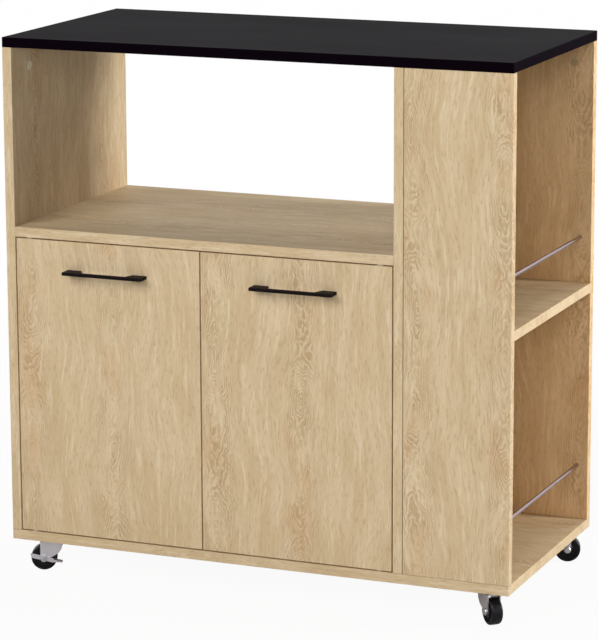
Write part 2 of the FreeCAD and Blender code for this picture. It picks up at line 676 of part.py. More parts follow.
def dowel_rows():
    """Each row of dowels: board drilled in its edge, board drilled in its face, direction, and places."""
    edges = both_ends("Size.dowel_edge")
    half_column = f"(({COLUMN_LEFT} + {RIGHT_END}) / 2)"
    half_depth = "(Size.depth / 2)"
    left_middle = HALF_BOARD
    divider_middle = f"({BAY_RIGHT} + {HALF_BOARD})"
    shelf_middle = f"({SHELF_UNDER} + {HALF_BOARD})"
    column_shelf_middle = f"({COLUMN_SHELF_UNDER} + {HALF_BOARD})"
    levels = (f"({BASE_TOP} + 2 * Size.dowel_edge)", f"({SIDE_TOP} - 2 * Size.dowel_edge)")
    front_middle = HALF_BOARD
    rear_middle = f"(Size.depth - {HALF_BOARD})"
    return [
        ("left_side_panel", "worktop", "+Z", [(left_middle, y, SIDE_TOP) for y in edges]),
        ("divider_panel", "worktop", "+Z", [(divider_middle, y, SIDE_TOP) for y in edges]),
        ("column_front_panel", "worktop", "+Z", [(half_column, front_middle, SIDE_TOP)]),
        ("column_rear_panel", "worktop", "+Z", [(half_column, rear_middle, SIDE_TOP)]),
        ("microwave_shelf", "left_side_panel", "-X", [(BAY_LEFT, y, shelf_middle) for y in edges]),
        ("microwave_shelf", "divider_panel", "+X", [(BAY_RIGHT, y, shelf_middle) for y in edges]),
        ("column_shelf", "divider_panel", "-X", [(COLUMN_LEFT, half_depth, column_shelf_middle)]),
        ("column_front_panel", "divider_panel", "-X", [(COLUMN_LEFT, front_middle, z) for z in levels]),
        ("column_rear_panel", "divider_panel", "-X", [(COLUMN_LEFT, rear_middle, z) for z in levels]),
    ]


def make_dowels(boards):
    """Wooden dowels that line the boards up at each joint."""
    dowel = new_body("dowel_pattern", written=False)
    radius = "(Size.dowel_diameter / 2)"
    low = "(Size.end_play - Size.dowel_in_edge)"
    high = "(Size.dowel_in_face - Size.end_play)"
    outline = [
        ("0", low),
        (f"({radius} - Size.tip_chamfer)", low),
        (radius, f"({low} + Size.tip_chamfer)"),
        (radius, f"({high} - Size.tip_chamfer)"),
        (f"({radius} - Size.tip_chamfer)", high),
        ("0", high),
    ]
    turn(dowel, "profile", "Y", "0", outline)
    hole = "(Size.dowel_diameter + 2 * Size.seat_clearance)"
    places = []
    for number, (edge_board, face_board, towards, points) in enumerate(dowel_rows(), start=1):
        backwards = opposite(towards)
        drill(boards[edge_board], f"dowel_edge{number}", backwards, points, hole, "Size.dowel_in_edge")
        drill(boards[face_board], f"dowel_face{number}", towards, points, hole, "Size.dowel_in_face")
        side = "+X" if towards[1] == "Z" else "+Z"
        places += [(point, towards, side) for point in points]
    group_of("wood_dowels", dowel, places)


def make_base_screws(boards):
    """Countersunk screws that pull the uprights down onto the bottom board."""
    edges = both_ends("Size.base_screw_edge")
    column_sides = (f"({COLUMN_LEFT} + Size.column_screw_edge)", f"({RIGHT_END} - Size.column_screw_edge)")
    rows = {
        "left_side_panel": [(HALF_BOARD, y) for y in edges],
        "divider_panel": [(f"({BAY_RIGHT} + {HALF_BOARD})", y) for y in edges],
        "column_front_panel": [(x, HALF_BOARD) for x in column_sides],
        "column_rear_panel": [(x, f"(Size.depth - {HALF_BOARD})") for x in column_sides],
    }
    hole = "(Size.base_screw + 2 * Size.seat_clearance)"
    reach = "(Size.base_screw_length - Size.board)"
    for upright, places in rows.items():
        drill(boards[upright], "base_holes", "+Z", [(x, y, BASE_TOP) for x, y in places], hole, reach)

    base = boards["bottom_board"]
    sketch = sketch_on(base, "base_screw_holes", "Z", "0")
    everywhere = [place for places in rows.values() for place in places]
    for place in everywhere:
        draw_circle(sketch, place, hole)
    doc.recompute()
    before = base.Shape.Volume
    holes = base.newObject("PartDesign::Hole", "countersunk_holes")
    holes.Profile = sketch
    doc.recompute()
    holes.Reversed = True
    holes.Threaded = False
    holes.setExpression("Diameter", hole)
    holes.DepthType = "ThroughAll"
    holes.HoleCutType = "Countersink"
    holes.HoleCutCustomValues = True
    holes.HoleCutCountersinkAngle = 90
    holes.setExpression("HoleCutDiameter", "Size.base_head + 2 * Size.seat_clearance")
    doc.recompute()
    if base.Shape.Volume >= before:
        raise RuntimeError("the countersunk holes cut nothing")

    screw = new_body("base_screw_pattern", written=False)
    shank = "(Size.base_screw / 2)"
    head = "(Size.base_head / 2)"
    tip = "(Size.base_screw_length - Size.end_play)"
    outline = [
        ("0", "Size.base_socket_depth"),
        ("(Size.base_socket / 2)", "Size.base_socket_depth"),
        ("(Size.base_socket / 2)", "0"),
        (head, "0"),
        (shank, f"({head} - {shank})"),
        (shank, f"({tip} - Size.base_point)"),
        ("Size.tip_chamfer", tip),
        ("0", tip),
    ]
    turn(screw, "profile", "Y", "0", outline)
    group_of("base_screws", screw, [((x, y, "0"), "+Z", "+X") for x, y in everywhere])


# ---------------------------------------------------------------------------------------------------------
# Inner shelf pins, rails
# ---------------------------------------------------------------------------------------------------------


def make_shelf_pins(boards):
    """Four pins under the inner shelf, and three rows of holes to choose its height."""
    pin_level = f"({INNER_SHELF_UNDER} - Size.pin_diameter / 2)"
    front = "(Size.inner_shelf_inset + Size.pin_inset)"
    rear = f"({BACK_FRONT} - Size.inner_shelf_play - Size.pin_inset)"
    hole = "(Size.pin_diameter + 2 * Size.seat_clearance)"
    for label, towards, x in (("left_side_panel", "-X", BAY_LEFT), ("divider_panel", "+X", BAY_RIGHT)):
        points = []
        for step in (-1, 0, 1):
            level = f"({pin_level} + {step} * Size.pin_pitch)"
            points += [(x, front, level), (x, rear, level)]
        drill(boards[label], "pin_holes", towards, points, hole, "Size.pin_seat")

    pin = new_body("shelf_pin_pattern", written=False)
    radius = "(Size.pin_diameter / 2)"
    collar = f"({radius} + Size.pin_collar)"
    outline = [
        ("0", "(Size.end_play - Size.pin_seat)"),
        (radius, "(Size.end_play - Size.pin_seat)"),
        (radius, "0"),
        (collar, "0"),
        (collar, "(Size.inner_shelf_play / 2)"),
        (radius, "(Size.inner_shelf_play / 2)"),
        (radius, "Size.pin_reach"),
        ("0", "Size.pin_reach"),
    ]
    turn(pin, "profile", "Y", "0", outline)
    places = []
    for x, outward in ((BAY_LEFT, "+X"), (BAY_RIGHT, "-X")):
        places += [((x, y, pin_level), outward, "+Z") for y in (front, rear)]
    group_of("shelf_pins", pin, places)


def make_rails(boards):
    """The two bright rods that run from the column's front panel to its rear panel."""
    hole = "(Size.rail_diameter + 2 * Size.seat_clearance)"
    into = "(Size.rail_seat - Size.seat_clearance)"
    x = f"({RIGHT_END} - Size.rail_inset)"
    levels = {
        "upper_rail": f"({COLUMN_SHELF_TOP} + Size.upper_rail_rise)",
        "lower_rail": f"({BASE_TOP} + Size.lower_rail_rise)",
    }
    front_points = [(x, FRONT_INNER, z) for z in levels.values()]
    rear_points = [(x, REAR_INNER, z) for z in levels.values()]
    drill(boards["column_front_panel"], "rail_seats", "-Y", front_points, hole, "Size.rail_seat")
    drill(boards["column_rear_panel"], "rail_seats", "+Y", rear_points, hole, "Size.rail_seat")
    for label, z in levels.items():
        rail = doc.addObject("Part::Cylinder", label)
        rail.Label = label
        rail.setExpression("Radius", "Size.rail_diameter / 2")
        rail.setExpression("Height", f"{REAR_INNER} - {FRONT_INNER} + 2 * {into}")
        rail.Placement = Placement(Vector(), Rotation(Vector(1, 0, 0), -90))
        rail.setExpression(".Placement.Base.x", f"{x} - Size.width / 2")
        start = f"{FRONT_INNER} - {into}"
        rail.setExpression(".Placement.Base.y", f"{start} - (Size.depth - Size.handle_reach) / 2")
        rail.setExpression(".Placement.Base.z", f"{z} + Size.axle_drop + Size.wheel_diameter / 2")
        NODES[label] = rail


# ---------------------------------------------------------------------------------------------------------
# Doors
# ---------------------------------------------------------------------------------------------------------


def door_places(side):
    """The x places of one door: its (low, high) edges, its pivot, its middle and its catch."""
    if side == "left":
        low = f"({BAY_LEFT} + Size.door_gap)"
        high = f"({low} + {DOOR_WIDTH})"
        pivot = f"({low} + Size.pivot_setback)"
        catch = f"({high} - Size.catch_inset)"
    else:
        high = f"({BAY_RIGHT} - Size.door_gap)"
        low = f"({high} - {DOOR_WIDTH})"
        pivot = f"({high} - Size.pivot_setback)"
        catch = f"({low} + Size.catch_inset)"
    return low, high, pivot, f"(({low} + {high}) / 2)", catch


def make_door(side):
    """One door with its pivot pins, handle, handle screws and strike plate."""
    low, high, pivot, middle, catch = door_places(side)
    door = board(f"{side}_door", (low, high), ("0", "Size.board"), (DOOR_LOW, DOOR_HIGH), "Y")
    pin_hole = "(Size.pivot_diameter + 2 * Size.seat_clearance)"
    seat = "(Size.pivot_seat + Size.end_play)"
    drill(door, "lower_pin", "+Z", [(pivot, HALF_BOARD, DOOR_LOW)], pin_hole, seat)
    drill(door, "upper_pin", "-Z", [(pivot, HALF_BOARD, DOOR_HIGH)], pin_hole, seat)
    level = f"({DOOR_HIGH} - Size.handle_drop)"
    screw_places = [f"({middle} - Size.handle_spacing / 2)", f"({middle} + Size.handle_spacing / 2)"]
    screw_hole = "(Size.handle_screw + Size.screw_slack)"
    drill(door, "handle_holes", "+Y", [(x, "0", level) for x in screw_places], screw_hole, "Size.board")
    pilot = "(Size.small_screw + 2 * Size.seat_clearance)"
    strike_pilot = [(catch, "Size.board", STRIKE_SCREW_LEVEL)]
    drill(door, "strike_pilot", "-Y", strike_pilot, pilot, "(Size.small_screw_thread + Size.end_play)")
    make_door_pins(side, pivot)
    make_handle(side, middle, level, screw_places)
    make_strike(side, catch)


def make_handle(side, middle, level, screw_places):
    """A flat bridge handle: square outer sides, inner sides that lean, and a slim bar."""
    handle = new_body(f"{side}_handle")
    left = f"({middle} - Size.handle_length / 2)"
    right = f"({middle} + Size.handle_length / 2)"
    bar_rear = "(-(Size.handle_reach - Size.handle_bar))"
    outline = [
        (left, "(-Size.handle_reach)"),
        (right, "(-Size.handle_reach)"),
        (right, "0"),
        (f"({right} - Size.handle_foot)", "0"),
        (f"({right} - Size.handle_foot - Size.handle_slope)", bar_rear),
        (f"({left} + Size.handle_foot + Size.handle_slope)", bar_rear),
        (f"({left} + Size.handle_foot)", "0"),
        (left, "0"),
    ]
    sketch = sketch_on(handle, f"{side}_handle_plan", "Z", f"({level} - Size.handle_height / 2)")
    draw_outline(sketch, outline)
    block = pad(handle, sketch, "Size.handle_height", "+Z")
    round_edges(handle, "edges", block, "Size.handle_rounding", lambda e: e.BoundBox.YMin < -0.01)
    hole = "(Size.handle_screw + 2 * Size.seat_clearance)"
    points = [(x, "0", level) for x in screw_places]
    drill(handle, "threads", "-Y", points, hole, "(Size.handle_thread + Size.end_play)")
    place_in_cabinet(handle)
    length = "(Size.board + Size.handle_thread)"
    head = ("Size.handle_screw_head", "Size.handle_screw_head_height")
    screw = pan_screw(f"{side}_handle_screw_pattern", "Size.handle_screw", length, head)
    seats = [((x, "Size.board", level), "+Y", "+X") for x in screw_places]
    group_of(f"{side}_handle_screws", screw, seats)


def make_strike(side, catch):
    """The steel plate that the catch holds, and its one screw below the catch."""
    plate = new_body(f"{side}_strike_plate")
    sketch = sketch_on(plate, f"{side}_strike_face", "Y", "Size.board")
    low = (f"({catch} - Size.strike_length / 2)", f"({STRIKE_TOP} - Size.strike_height)")
    draw_rectangle(sketch, low, (f"({catch} + Size.strike_length / 2)", STRIKE_TOP))
    pad(plate, sketch, "Size.strike_thickness", "+Y")
    hole = "(Size.small_screw + 2 * Size.seat_clearance)"
    drill(plate, "hole", "+Y", [(catch, "Size.board", STRIKE_SCREW_LEVEL)], hole, "Size.strike_thickness")
    place_in_cabinet(plate)
    length = "(Size.strike_thickness + Size.small_screw_thread)"
    pattern = pan_screw(f"{side}_strike_screw_pattern", "Size.small_screw", length, SMALL_HEAD)
    seat = moved((catch, "Size.board", STRIKE_SCREW_LEVEL), "+Y", "Size.strike_thickness")
    group_of(f"{side}_strike_screw", pattern, [(seat, "+Y", "+X")])


def make_door_pins(side, pivot):
    """The two steel pins that stand out of the door's bottom and top edges."""
    pin = new_body(f"{side}_pin_pattern", written=False)
    radius = "(Size.pivot_diameter / 2)"
    tip = "(Size.door_gap + Size.bush_depth - Size.end_play)"
    outline = [
        ("0", "(-Size.pivot_seat)"),
        (radius, "(-Size.pivot_seat)"),
        (radius, f"({tip} - Size.tip_chamfer)"),
        (f"({radius} - Size.tip_chamfer)", tip),
        ("0", tip),
    ]
    turn(pin, "profile", "Y", "0", outline)
    lower = ((pivot, HALF_BOARD, DOOR_LOW), "-Z", "+X")
    upper = ((pivot, HALF_BOARD, DOOR_HIGH), "+Z", "+X")
    group_of(f"{side}_door_pins", pin, [lower, upper])


def make_pivot_bushes(boards):
    """Flanged nylon bushes in the bottom board and the microwave shelf, one for each pivot pin."""
    bush = new_body("pivot_bush_pattern", written=False)
    bore = "(Size.pivot_diameter / 2 + Size.running_clearance)"
    wall = f"({bore} + Size.bush_wall)"
    flange = f"({wall} + Size.bush_wall)"
    outline = [
        (bore, "(-Size.bush_depth)"),
        (wall, "(-Size.bush_depth)"),
        (wall, "0"),
        (flange, "0"),
        (flange, "Size.bush_flange"),
        (bore, "Size.bush_flange"),
    ]
    turn(bush, "profile", "Y", "0", outline)
    pivots = [door_places(side)[2] for side in ("left", "right")]
    lower = [(x, HALF_BOARD, BASE_TOP) for x in pivots]
    upper = [(x, HALF_BOARD, SHELF_UNDER) for x in pivots]
    hole = f"(2 * {wall} + 2 * Size.seat_clearance)"
    drill(boards["bottom_board"], "bush_seats", "-Z", lower, hole, "Size.bush_depth")
    drill(boards["microwave_shelf"], "bush_seats", "+Z", upper, hole, "Size.bush_depth")
    places = [(point, "+Z", "+X") for point in lower] + [(point, "-Z", "+X") for point in upper]
    group_of("pivot_bushes", bush, places)


def make_catches(boards):
    """Magnetic catches under the microwave shelf: housing, magnet and two screws for each door."""
    front = "(Size.board + Size.strike_thickness + Size.catch_gap)"
    centres = [door_places(side)[4] for side in ("left", "right")]
    housing = new_body("catch_housing_pattern", written=False)
    block = sketch_on(housing, "catch_block", "Z", "-Size.catch_height")
    draw_rectangle(block, ("(-Size.catch_length / 2)", "0"), ("(Size.catch_length / 2)", "Size.catch_depth"))
    solid = pad(housing, block, "Size.catch_height", "+Z")
    round_edges(housing, "corners", solid, "Size.softening", lambda e: runs_along(e, "Z"))
    half_length = "(Size.magnet_length / 2 + Size.seat_clearance)"
    half_height = "(Size.magnet_height / 2 + Size.seat_clearance)"
    middle = "(Size.catch_height / 2)"
    cavity = sketch_on(housing, "catch_cavity", "Y", "0")
    low = (f"(-{half_length})", f"(-{middle} - {half_height})")
    draw_rectangle(cavity, low, (half_length, f"(-{middle} + {half_height})"))
    pocket(housing, cavity, "(Size.magnet_depth + Size.seat_clearance)", "+Y")
    half_spacing = "(Size.catch_screw_spacing / 2)"
    half_depth = "(Size.catch_depth / 2)"
    ends = [(f"(-{half_spacing})", half_depth, "0"), (half_spacing, half_depth, "0")]
    drill(housing, "screw_holes", "-Z", ends, "(Size.small_screw + Size.screw_slack)", "Size.catch_height")
    places = [((x, front, SHELF_UNDER), "+Z", "+X") for x in centres]
    group_of("catch_housings", housing, places)

    magnet = new_body("catch_magnet_pattern", written=False)
    face = sketch_on(magnet, "magnet_face", "Y", "0")
    low = ("(-Size.magnet_length / 2)", f"(-{middle} - Size.magnet_height / 2)")
    draw_rectangle(face, low, ("(Size.magnet_length / 2)", f"(-{middle} + Size.magnet_height / 2)"))
    pad(magnet, face, "Size.magnet_depth", "+Y")
    group_of("catch_magnets", magnet, places)

    length = "(Size.catch_height + Size.small_screw_thread)"
    screw = pan_screw("catch_screw_pattern", "Size.small_screw", length, SMALL_HEAD)
    y = f"({front} + {half_depth})"
    seats = [(f"({x} {sign} {half_spacing})", y, SHELF_UNDER) for x in centres for sign in "-+"]
    pilot = "(Size.small_screw + 2 * Size.seat_clearance)"
    deep = "(Size.small_screw_thread + Size.end_play)"
    drill(boards["microwave_shelf"], "catch_pilots", "+Z", seats, pilot, deep)
    heads = [moved(point, "-Z", "Size.catch_height") for point in seats]
    group_of("catch_screws", screw, [(point, "-Z", "+X") for point in heads])


# ---------------------------------------------------------------------------------------------------------
# Casters
# ---------------------------------------------------------------------------------------------------------


def place_at_caster(body, caster, swivels=True):
    """Puts a piece that is drawn in caster coordinates under its kingpin, turned to its rest direction."""
    x, y = KINGPINS[caster]
    if swivels:
        body.Placement = Placement(Vector(), Rotation(Vector(0, 0, 1), 1))
        body.setExpression(".Placement.Rotation.Angle", f"Size.{caster}_turn")
    body.setExpression(".Placement.Base.x", f"{x} - Size.width / 2")
    body.setExpression(".Placement.Base.y", f"{y} - (Size.depth - Size.handle_reach) / 2")
    body.setExpression(".Placement.Base.z", "Size.axle_drop + Size.wheel_diameter / 2")


def plate_corners(x, y):
    """The four screw places of a mounting plate whose middle is at (x, y)."""
    half = "Size.plate_screw_spacing / 2"
    return [(f"({x} {a} {half})", f"({y} {b} {half})") for a in "-+" for b in "-+"]


def make_plate(caster):
    """The square mounting plate with the upper ball race under it."""
    plate = new_body(f"{caster}_plate")
    half = "(Size.plate_side / 2)"
    sketch = sketch_on(plate, f"{caster}_plate_face", "Z", PLATE_UNDER)
    draw_rectangle(sketch, (f"(-{half})", f"(-{half})"), (half, half))
    sheet_metal = pad(plate, sketch, "Size.plate_thickness", "+Z")
    round_edges(plate, "corners", sheet_metal, "Size.plate_corner", lambda e: runs_along(e, "Z"))
    race = sketch_on(plate, f"{caster}_plate_race", "Z", UPPER_RACE)
    draw_circle(race, ("0", "0"), "(2 * Size.race_radius)")
    pad(plate, race, "Size.race_height", "+Z")
    screw_hole = "(Size.caster_screw + Size.screw_slack)"
    screws = [(x, y, "0") for x, y in plate_corners("0", "0")]
    drill(plate, "screw_holes", "-Z", screws, screw_hole, "Size.plate_thickness")
    shank = "(Size.kingpin_diameter / 2 + Size.seat_clearance)"
    head = "(Size.kingpin_head / 2 + Size.seat_clearance)"
    deep = "(-Size.kingpin_head_height)"
    outline = [("0", "0"), (head, "0"), (shank, deep), (shank, UPPER_RACE), ("0", UPPER_RACE)]
    turn(plate, "kingpin_hole", "Y", "0", outline, cut=True)
    cut_ball_groove(plate)
    place_at_caster(plate, caster, swivels=False)


def cut_ball_groove(body):
    """The ring-shaped groove that half the height of each ball runs in."""
    groove = [(("Size.ball_circle", BALL_LEVEL), "(Size.ball_diameter + 2 * Size.running_clearance)")]
    before = body.Shape.Volume
    turn(body, "ball_groove", "Y", "0", groove, cut=True)
    if body.Shape.Volume >= before:
        raise RuntimeError(f"{body.Label}: the ball groove cuts nothing")


def make_balls(caster):
    """The ring of steel balls between the plate and the fork."""
    count = int(value("Size.ball_count"))
    radius = value("Size.ball_diameter") / 2
    ring = []
    for i in range(count):
        turned = Rotation(Vector(0, 0, 1), 360 * i / count)
        centre = turned.multVec(Vector(value("Size.ball_circle"), 0, value(BALL_LEVEL)))
        ring.append(Part.makeSphere(radius, centre))
    balls = doc.addObject("Part::Feature", f"{caster}_balls")
    balls.Label = f"{caster}_balls"
    balls.Shape = Part.makeCompound(ring)
    place_at_caster(balls, caster)
    NODES[balls.Label] = balls


def make_fork(caster):
    """The pressed fork: two cheeks, the web that joins them, and the lower ball race on top."""
    fork = new_body(f"{caster}_fork")
    back = "(Size.trail + Size.fork_eye)"
    outline = [
        ("(-Size.fork_front)", WEB_TOP),
        (back, WEB_TOP),
        (back, AXLE_LEVEL),
        ("(Size.trail - Size.fork_eye)", AXLE_LEVEL),
        ("Size.fork_chin_back", "(-Size.fork_chin_drop)"),
        ("(-Size.fork_jaw_front)", "(-Size.fork_jaw_drop)"),
        ("(-Size.fork_front)", f"({WEB_TOP} - Size.fork_brow)"),
    ]
    side = sketch_on(fork, f"{caster}_fork_side", "Y", "0")
    draw_outline(side, outline)
    block = pad(fork, side, f"(2 * {CHEEK_OUTER})", both_sides=True)
    outer = value(CHEEK_OUTER)

    def on_bend(edge):
        middle = edge.CenterOfMass
        return runs_along(edge, "X") and near(middle.z, WEB_TOP) and near(abs(middle.y), outer)

    round_edges(fork, "bends", block, "Size.fork_bend", on_bend)
    eye = sketch_on(fork, f"{caster}_fork_eye", "Y", "0")
    draw_circle(eye, ("Size.trail", AXLE_LEVEL), "(2 * Size.fork_eye)")
    pad(fork, eye, f"(2 * {CHEEK_OUTER})", both_sides=True)
    inside = sketch_on(fork, f"{caster}_fork_inside", "X", "0")
    low = (f"(-{CHEEK_INNER})", "(-Size.axle_drop - 2 * Size.fork_eye)")
    draw_rectangle(inside, low, (CHEEK_INNER, WEB_UNDER))
    pocket(fork, inside, f"(2 * ({back} + Size.fork_front))", "+X", both_sides=True)
    race = sketch_on(fork, f"{caster}_fork_race", "Z", WEB_TOP)
    draw_circle(race, ("0", "0"), "(2 * Size.race_radius)")
    pad(fork, race, "Size.race_height", "+Z")
    hole = "(Size.kingpin_diameter + 2 * Size.running_clearance)"
    depth = "(Size.race_height + Size.fork_sheet)"
    drill(fork, "kingpin_hole", "-Z", [("0", "0", LOWER_RACE)], hole, depth)
    cut_ball_groove(fork)
    axle_hole = "(Size.axle_diameter + 2 * Size.seat_clearance)"
    start = ("Size.trail", f"(-{CHEEK_OUTER})", AXLE_LEVEL)
    drill(fork, "axle_hole", "+Y", [start], axle_hole, f"(2 * {CHEEK_OUTER})")
    place_at_caster(fork, caster)


def make_wheel(caster):
    """The one-piece wheel: a tread, a ring sunk into each side, and a hub with its bore."""
    wheel = new_body(f"{caster}_wheel")
    half = "(Size.wheel_width / 2)"
    sunk = f"({half} - Size.wheel_dish)"
    radii = {
        "bore": "(Size.trail + Size.axle_diameter / 2 + Size.running_clearance)",
        "hub": "(Size.trail + Size.wheel_hub)",
        "rim": "(Size.trail + Size.wheel_rim)",
        "tread": "(Size.trail + Size.wheel_diameter / 2)",
    }
    upper = [
        (radii["tread"], half),
        (radii["rim"], half),
        (radii["rim"], sunk),
        (radii["hub"], sunk),
        (radii["hub"], half),
        (radii["bore"], half),
    ]
    lower = [(u, f"(-{v})") for u, v in reversed(upper)]
    solid = turn(wheel, "profile", "Z", AXLE_LEVEL, upper + lower, centre="Size.trail")
    tread = value("Size.wheel_diameter / 2")

    def on_tread(edge):
        return isinstance(edge.Curve, Part.Circle) and abs(edge.Curve.Radius - tread) < 0.01

    round_edges(wheel, "tread", solid, "Size.wheel_rounding", on_tread)
    place_at_caster(wheel, caster)


def make_axle(caster):
    """The bolt through the fork and the wheel, with its nut outside the fork or the brake lever."""
    nut_seat = CHEEK_OUTER
    if caster in BRAKED:
        nut_seat = f"({CHEEK_OUTER} + 2 * Size.lever_gap + Size.lever_sheet)"
    bolt = new_body(f"{caster}_bolt", written=False)
    shank = "(Size.trail + Size.axle_diameter / 2)"
    head = "(Size.trail + Size.axle_head / 2)"
    tip = f"({nut_seat} + Size.nut_height + Size.tip_chamfer)"
    under_head = f"(-{CHEEK_OUTER})"
    head_top = f"(-{CHEEK_OUTER} - Size.axle_head_height)"
    outline = [
        ("Size.trail", head_top),
        (f"({head} - Size.axle_head_chamfer)", head_top),
        (head, f"({head_top} + Size.axle_head_chamfer)"),
        (head, under_head),
        (shank, under_head),
        (shank, f"({tip} - Size.tip_chamfer)"),
        (f"({shank} - Size.tip_chamfer)", tip),
        ("Size.trail", tip),
    ]
    turn(bolt, "profile", "Z", AXLE_LEVEL, outline, centre="Size.trail")
    place_at_caster(bolt, caster)

    nut = new_body(f"{caster}_nut", written=False)
    hexagon = sketch_on(nut, f"{caster}_nut_hexagon", "Y", nut_seat)
    corner = "Size.nut_flats / sqrt(3)"
    corners = []
    for angle in range(0, 360, 60):
        across = f"(Size.trail + {corner} * cos({angle}))"
        corners.append((across, f"({AXLE_LEVEL} + {corner} * sin({angle}))"))
    draw_outline(hexagon, corners)
    pad(nut, hexagon, "Size.nut_height", "+Y")
    bore = "(Size.axle_diameter + 2 * Size.seat_clearance)"
    drill(nut, "bore", "+Y", [("Size.trail", nut_seat, AXLE_LEVEL)], bore, "Size.nut_height")
    place_at_caster(nut, caster)
    compound_of(f"{caster}_axle", [bolt, nut])


def lever_sketch(lever, name, level):
    """A sketch beside the fork whose origin is the axle, tilted by the lever's slope."""
    sketch = sketch_on(lever, f"{lever.Name}_{name}", "Y", level)
    offset = sketch.AttachmentOffset
    offset.Rotation = Rotation(Vector(0, 0, 1), 1)
    sketch.AttachmentOffset = offset
    sketch.setExpression(".AttachmentOffset.Base.x", "Size.trail")
    sketch.setExpression(".AttachmentOffset.Base.y", AXLE_LEVEL)
    sketch.setExpression(".AttachmentOffset.Rotation.Angle", "Size.lever_slope")
    return sketch


def make_brake_lever(caster):
    """The stamped lever that pivots on the axle outside the fork, with a pedal bent outwards."""
    lever = new_body(f"{caster}_brake_lever")
    level = f"({CHEEK_OUTER} + Size.lever_gap)"
    half = "(Size.lever_width / 2)"
    toe = "(-Size.lever_toe)"
    pedal_end = "(Size.lever_pedal - Size.lever_toe)"
    arm = lever_sketch(lever, "arm", level)
    outline = [
        (toe, "0"),
        (pedal_end, f"(-{half})"),
        (f"(Size.lever_heel - {half})", f"(-{half})"),
        ("Size.lever_heel", "0"),
        ("Size.lever_heel", half),
        (toe, half),
    ]
    draw_outline(arm, outline)
    pad(lever, arm, "Size.lever_sheet", "+Y")
    eye = lever_sketch(lever, "eye", level)
    draw_circle(eye, ("0", "0"), "(2 * Size.fork_eye)")
    pad(lever, eye, "Size.lever_sheet", "+Y")
    pedal = lever_sketch(lever, "pedal", level)
    draw_rectangle(pedal, (toe, f"({half} - Size.lever_sheet)"), (pedal_end, half))
    pad(lever, pedal, "(Size.lever_sheet + Size.lever_pedal_reach)", "+Y")
    bore = "(Size.axle_diameter + 2 * Size.running_clearance)"
    drill(lever, "bore", "+Y", [("Size.trail", level, AXLE_LEVEL)], bore, "Size.lever_sheet")
    place_at_caster(lever, caster)


def make_caster_fasteners(boards):
    """The four kingpin rivets, and four screws for each mounting plate."""
    rivet = new_body("kingpin_pattern", written=False)
    shank = "(Size.kingpin_diameter / 2)"
    head = "(Size.kingpin_head / 2)"
    lower = f"({WEB_UNDER} - Size.kingpin_play)"
    outline = [
        ("0", "0"),
        (head, "0"),
        (shank, "(-Size.kingpin_head_height)"),
        (shank, lower),
        (head, lower),
        (f"({head} - Size.tip_chamfer)", f"({lower} - Size.kingpin_head_height)"),
        ("0", f"({lower} - Size.kingpin_head_height)"),
    ]
    turn(rivet, "profile", "Y", "0", outline)
    group_of("kingpins", rivet, [((x, y, "0"), "+Z", "+X") for x, y in KINGPINS.values()])

    length = "(Size.plate_thickness + Size.caster_screw_thread)"
    head = ("Size.caster_screw_head", "Size.caster_screw_head_height")
    screw = pan_screw("caster_screw_pattern", "Size.caster_screw", length, head)
    corners = [(u, v, "0") for x, y in KINGPINS.values() for u, v in plate_corners(x, y)]
    pilot = "(Size.caster_screw + 2 * Size.seat_clearance)"
    deep = "(Size.caster_screw_thread + Size.end_play)"
    drill(boards["bottom_board"], "caster_pilots", "+Z", corners, pilot, deep)
    seats = [moved(point, "-Z", "Size.plate_thickness") for point in corners]
    group_of("caster_screws", screw, [(point, "-Z", "+X") for point in seats])


def make_casters(boards):
    for caster in KINGPINS:
        make_plate(caster)
        make_balls(caster)
        make_fork(caster)
        make_wheel(caster)
        make_axle(caster)
        if caster in BRAKED:
            make_brake_lever(caster)
    make_caster_fasteners(boards)


# ---------------------------------------------------------------------------------------------------------
# Checking and writing
# ---------------------------------------------------------------------------------------------------------


def check_document():
    """Stops at any failed object, and at any part whose shape is missing or broken."""
    doc.recompute()
    for item in doc.Objects:
        if "Invalid" in item.State or "Error" in item.State:
            raise RuntimeError(f"{item.Label}: {item.State}")
    for label, part in NODES.items():
        if part.Shape.isNull() or not part.Shape.isValid() or not part.Shape.Solids:
            raise RuntimeError(f"{label}: its shape is not a valid solid")


def write_parts():
    os.makedirs("parts", exist_ok=True)
    for label, part in NODES.items():
        part.Shape.exportStep(f"parts/{label}.step")
    print(f"{len(NODES)} parts written")


fill_sheet()
BOARDS = make_boards()
make_back(BOARDS)
make_cam_joints(BOARDS)
make_cam_caps()
make_dowels(BOARDS)
make_base_screws(BOARDS)
make_shelf_pins(BOARDS)
make_rails(BOARDS)
make_door("left")
make_door("right")
make_pivot_bushes(BOARDS)
make_catches(BOARDS)
make_casters(BOARDS)
check_document()
write_parts()
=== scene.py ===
# %% [markdown]
# # A microwave cart, dressed
#
# The cart is a flat-pack cabinet on casters: light oak laminate, a black worktop, an open bay for a microwave
# oven, a cupboard with two doors, and a shelf column that opens to the right. Its boards and fittings come
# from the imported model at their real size. This file gives them their finishes, adds the pieces whose shape
# needs a finer mesh, and sets up the camera and the studio.

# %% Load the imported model
import math

import bmesh
import bpy
from mathutils import Matrix, Vector


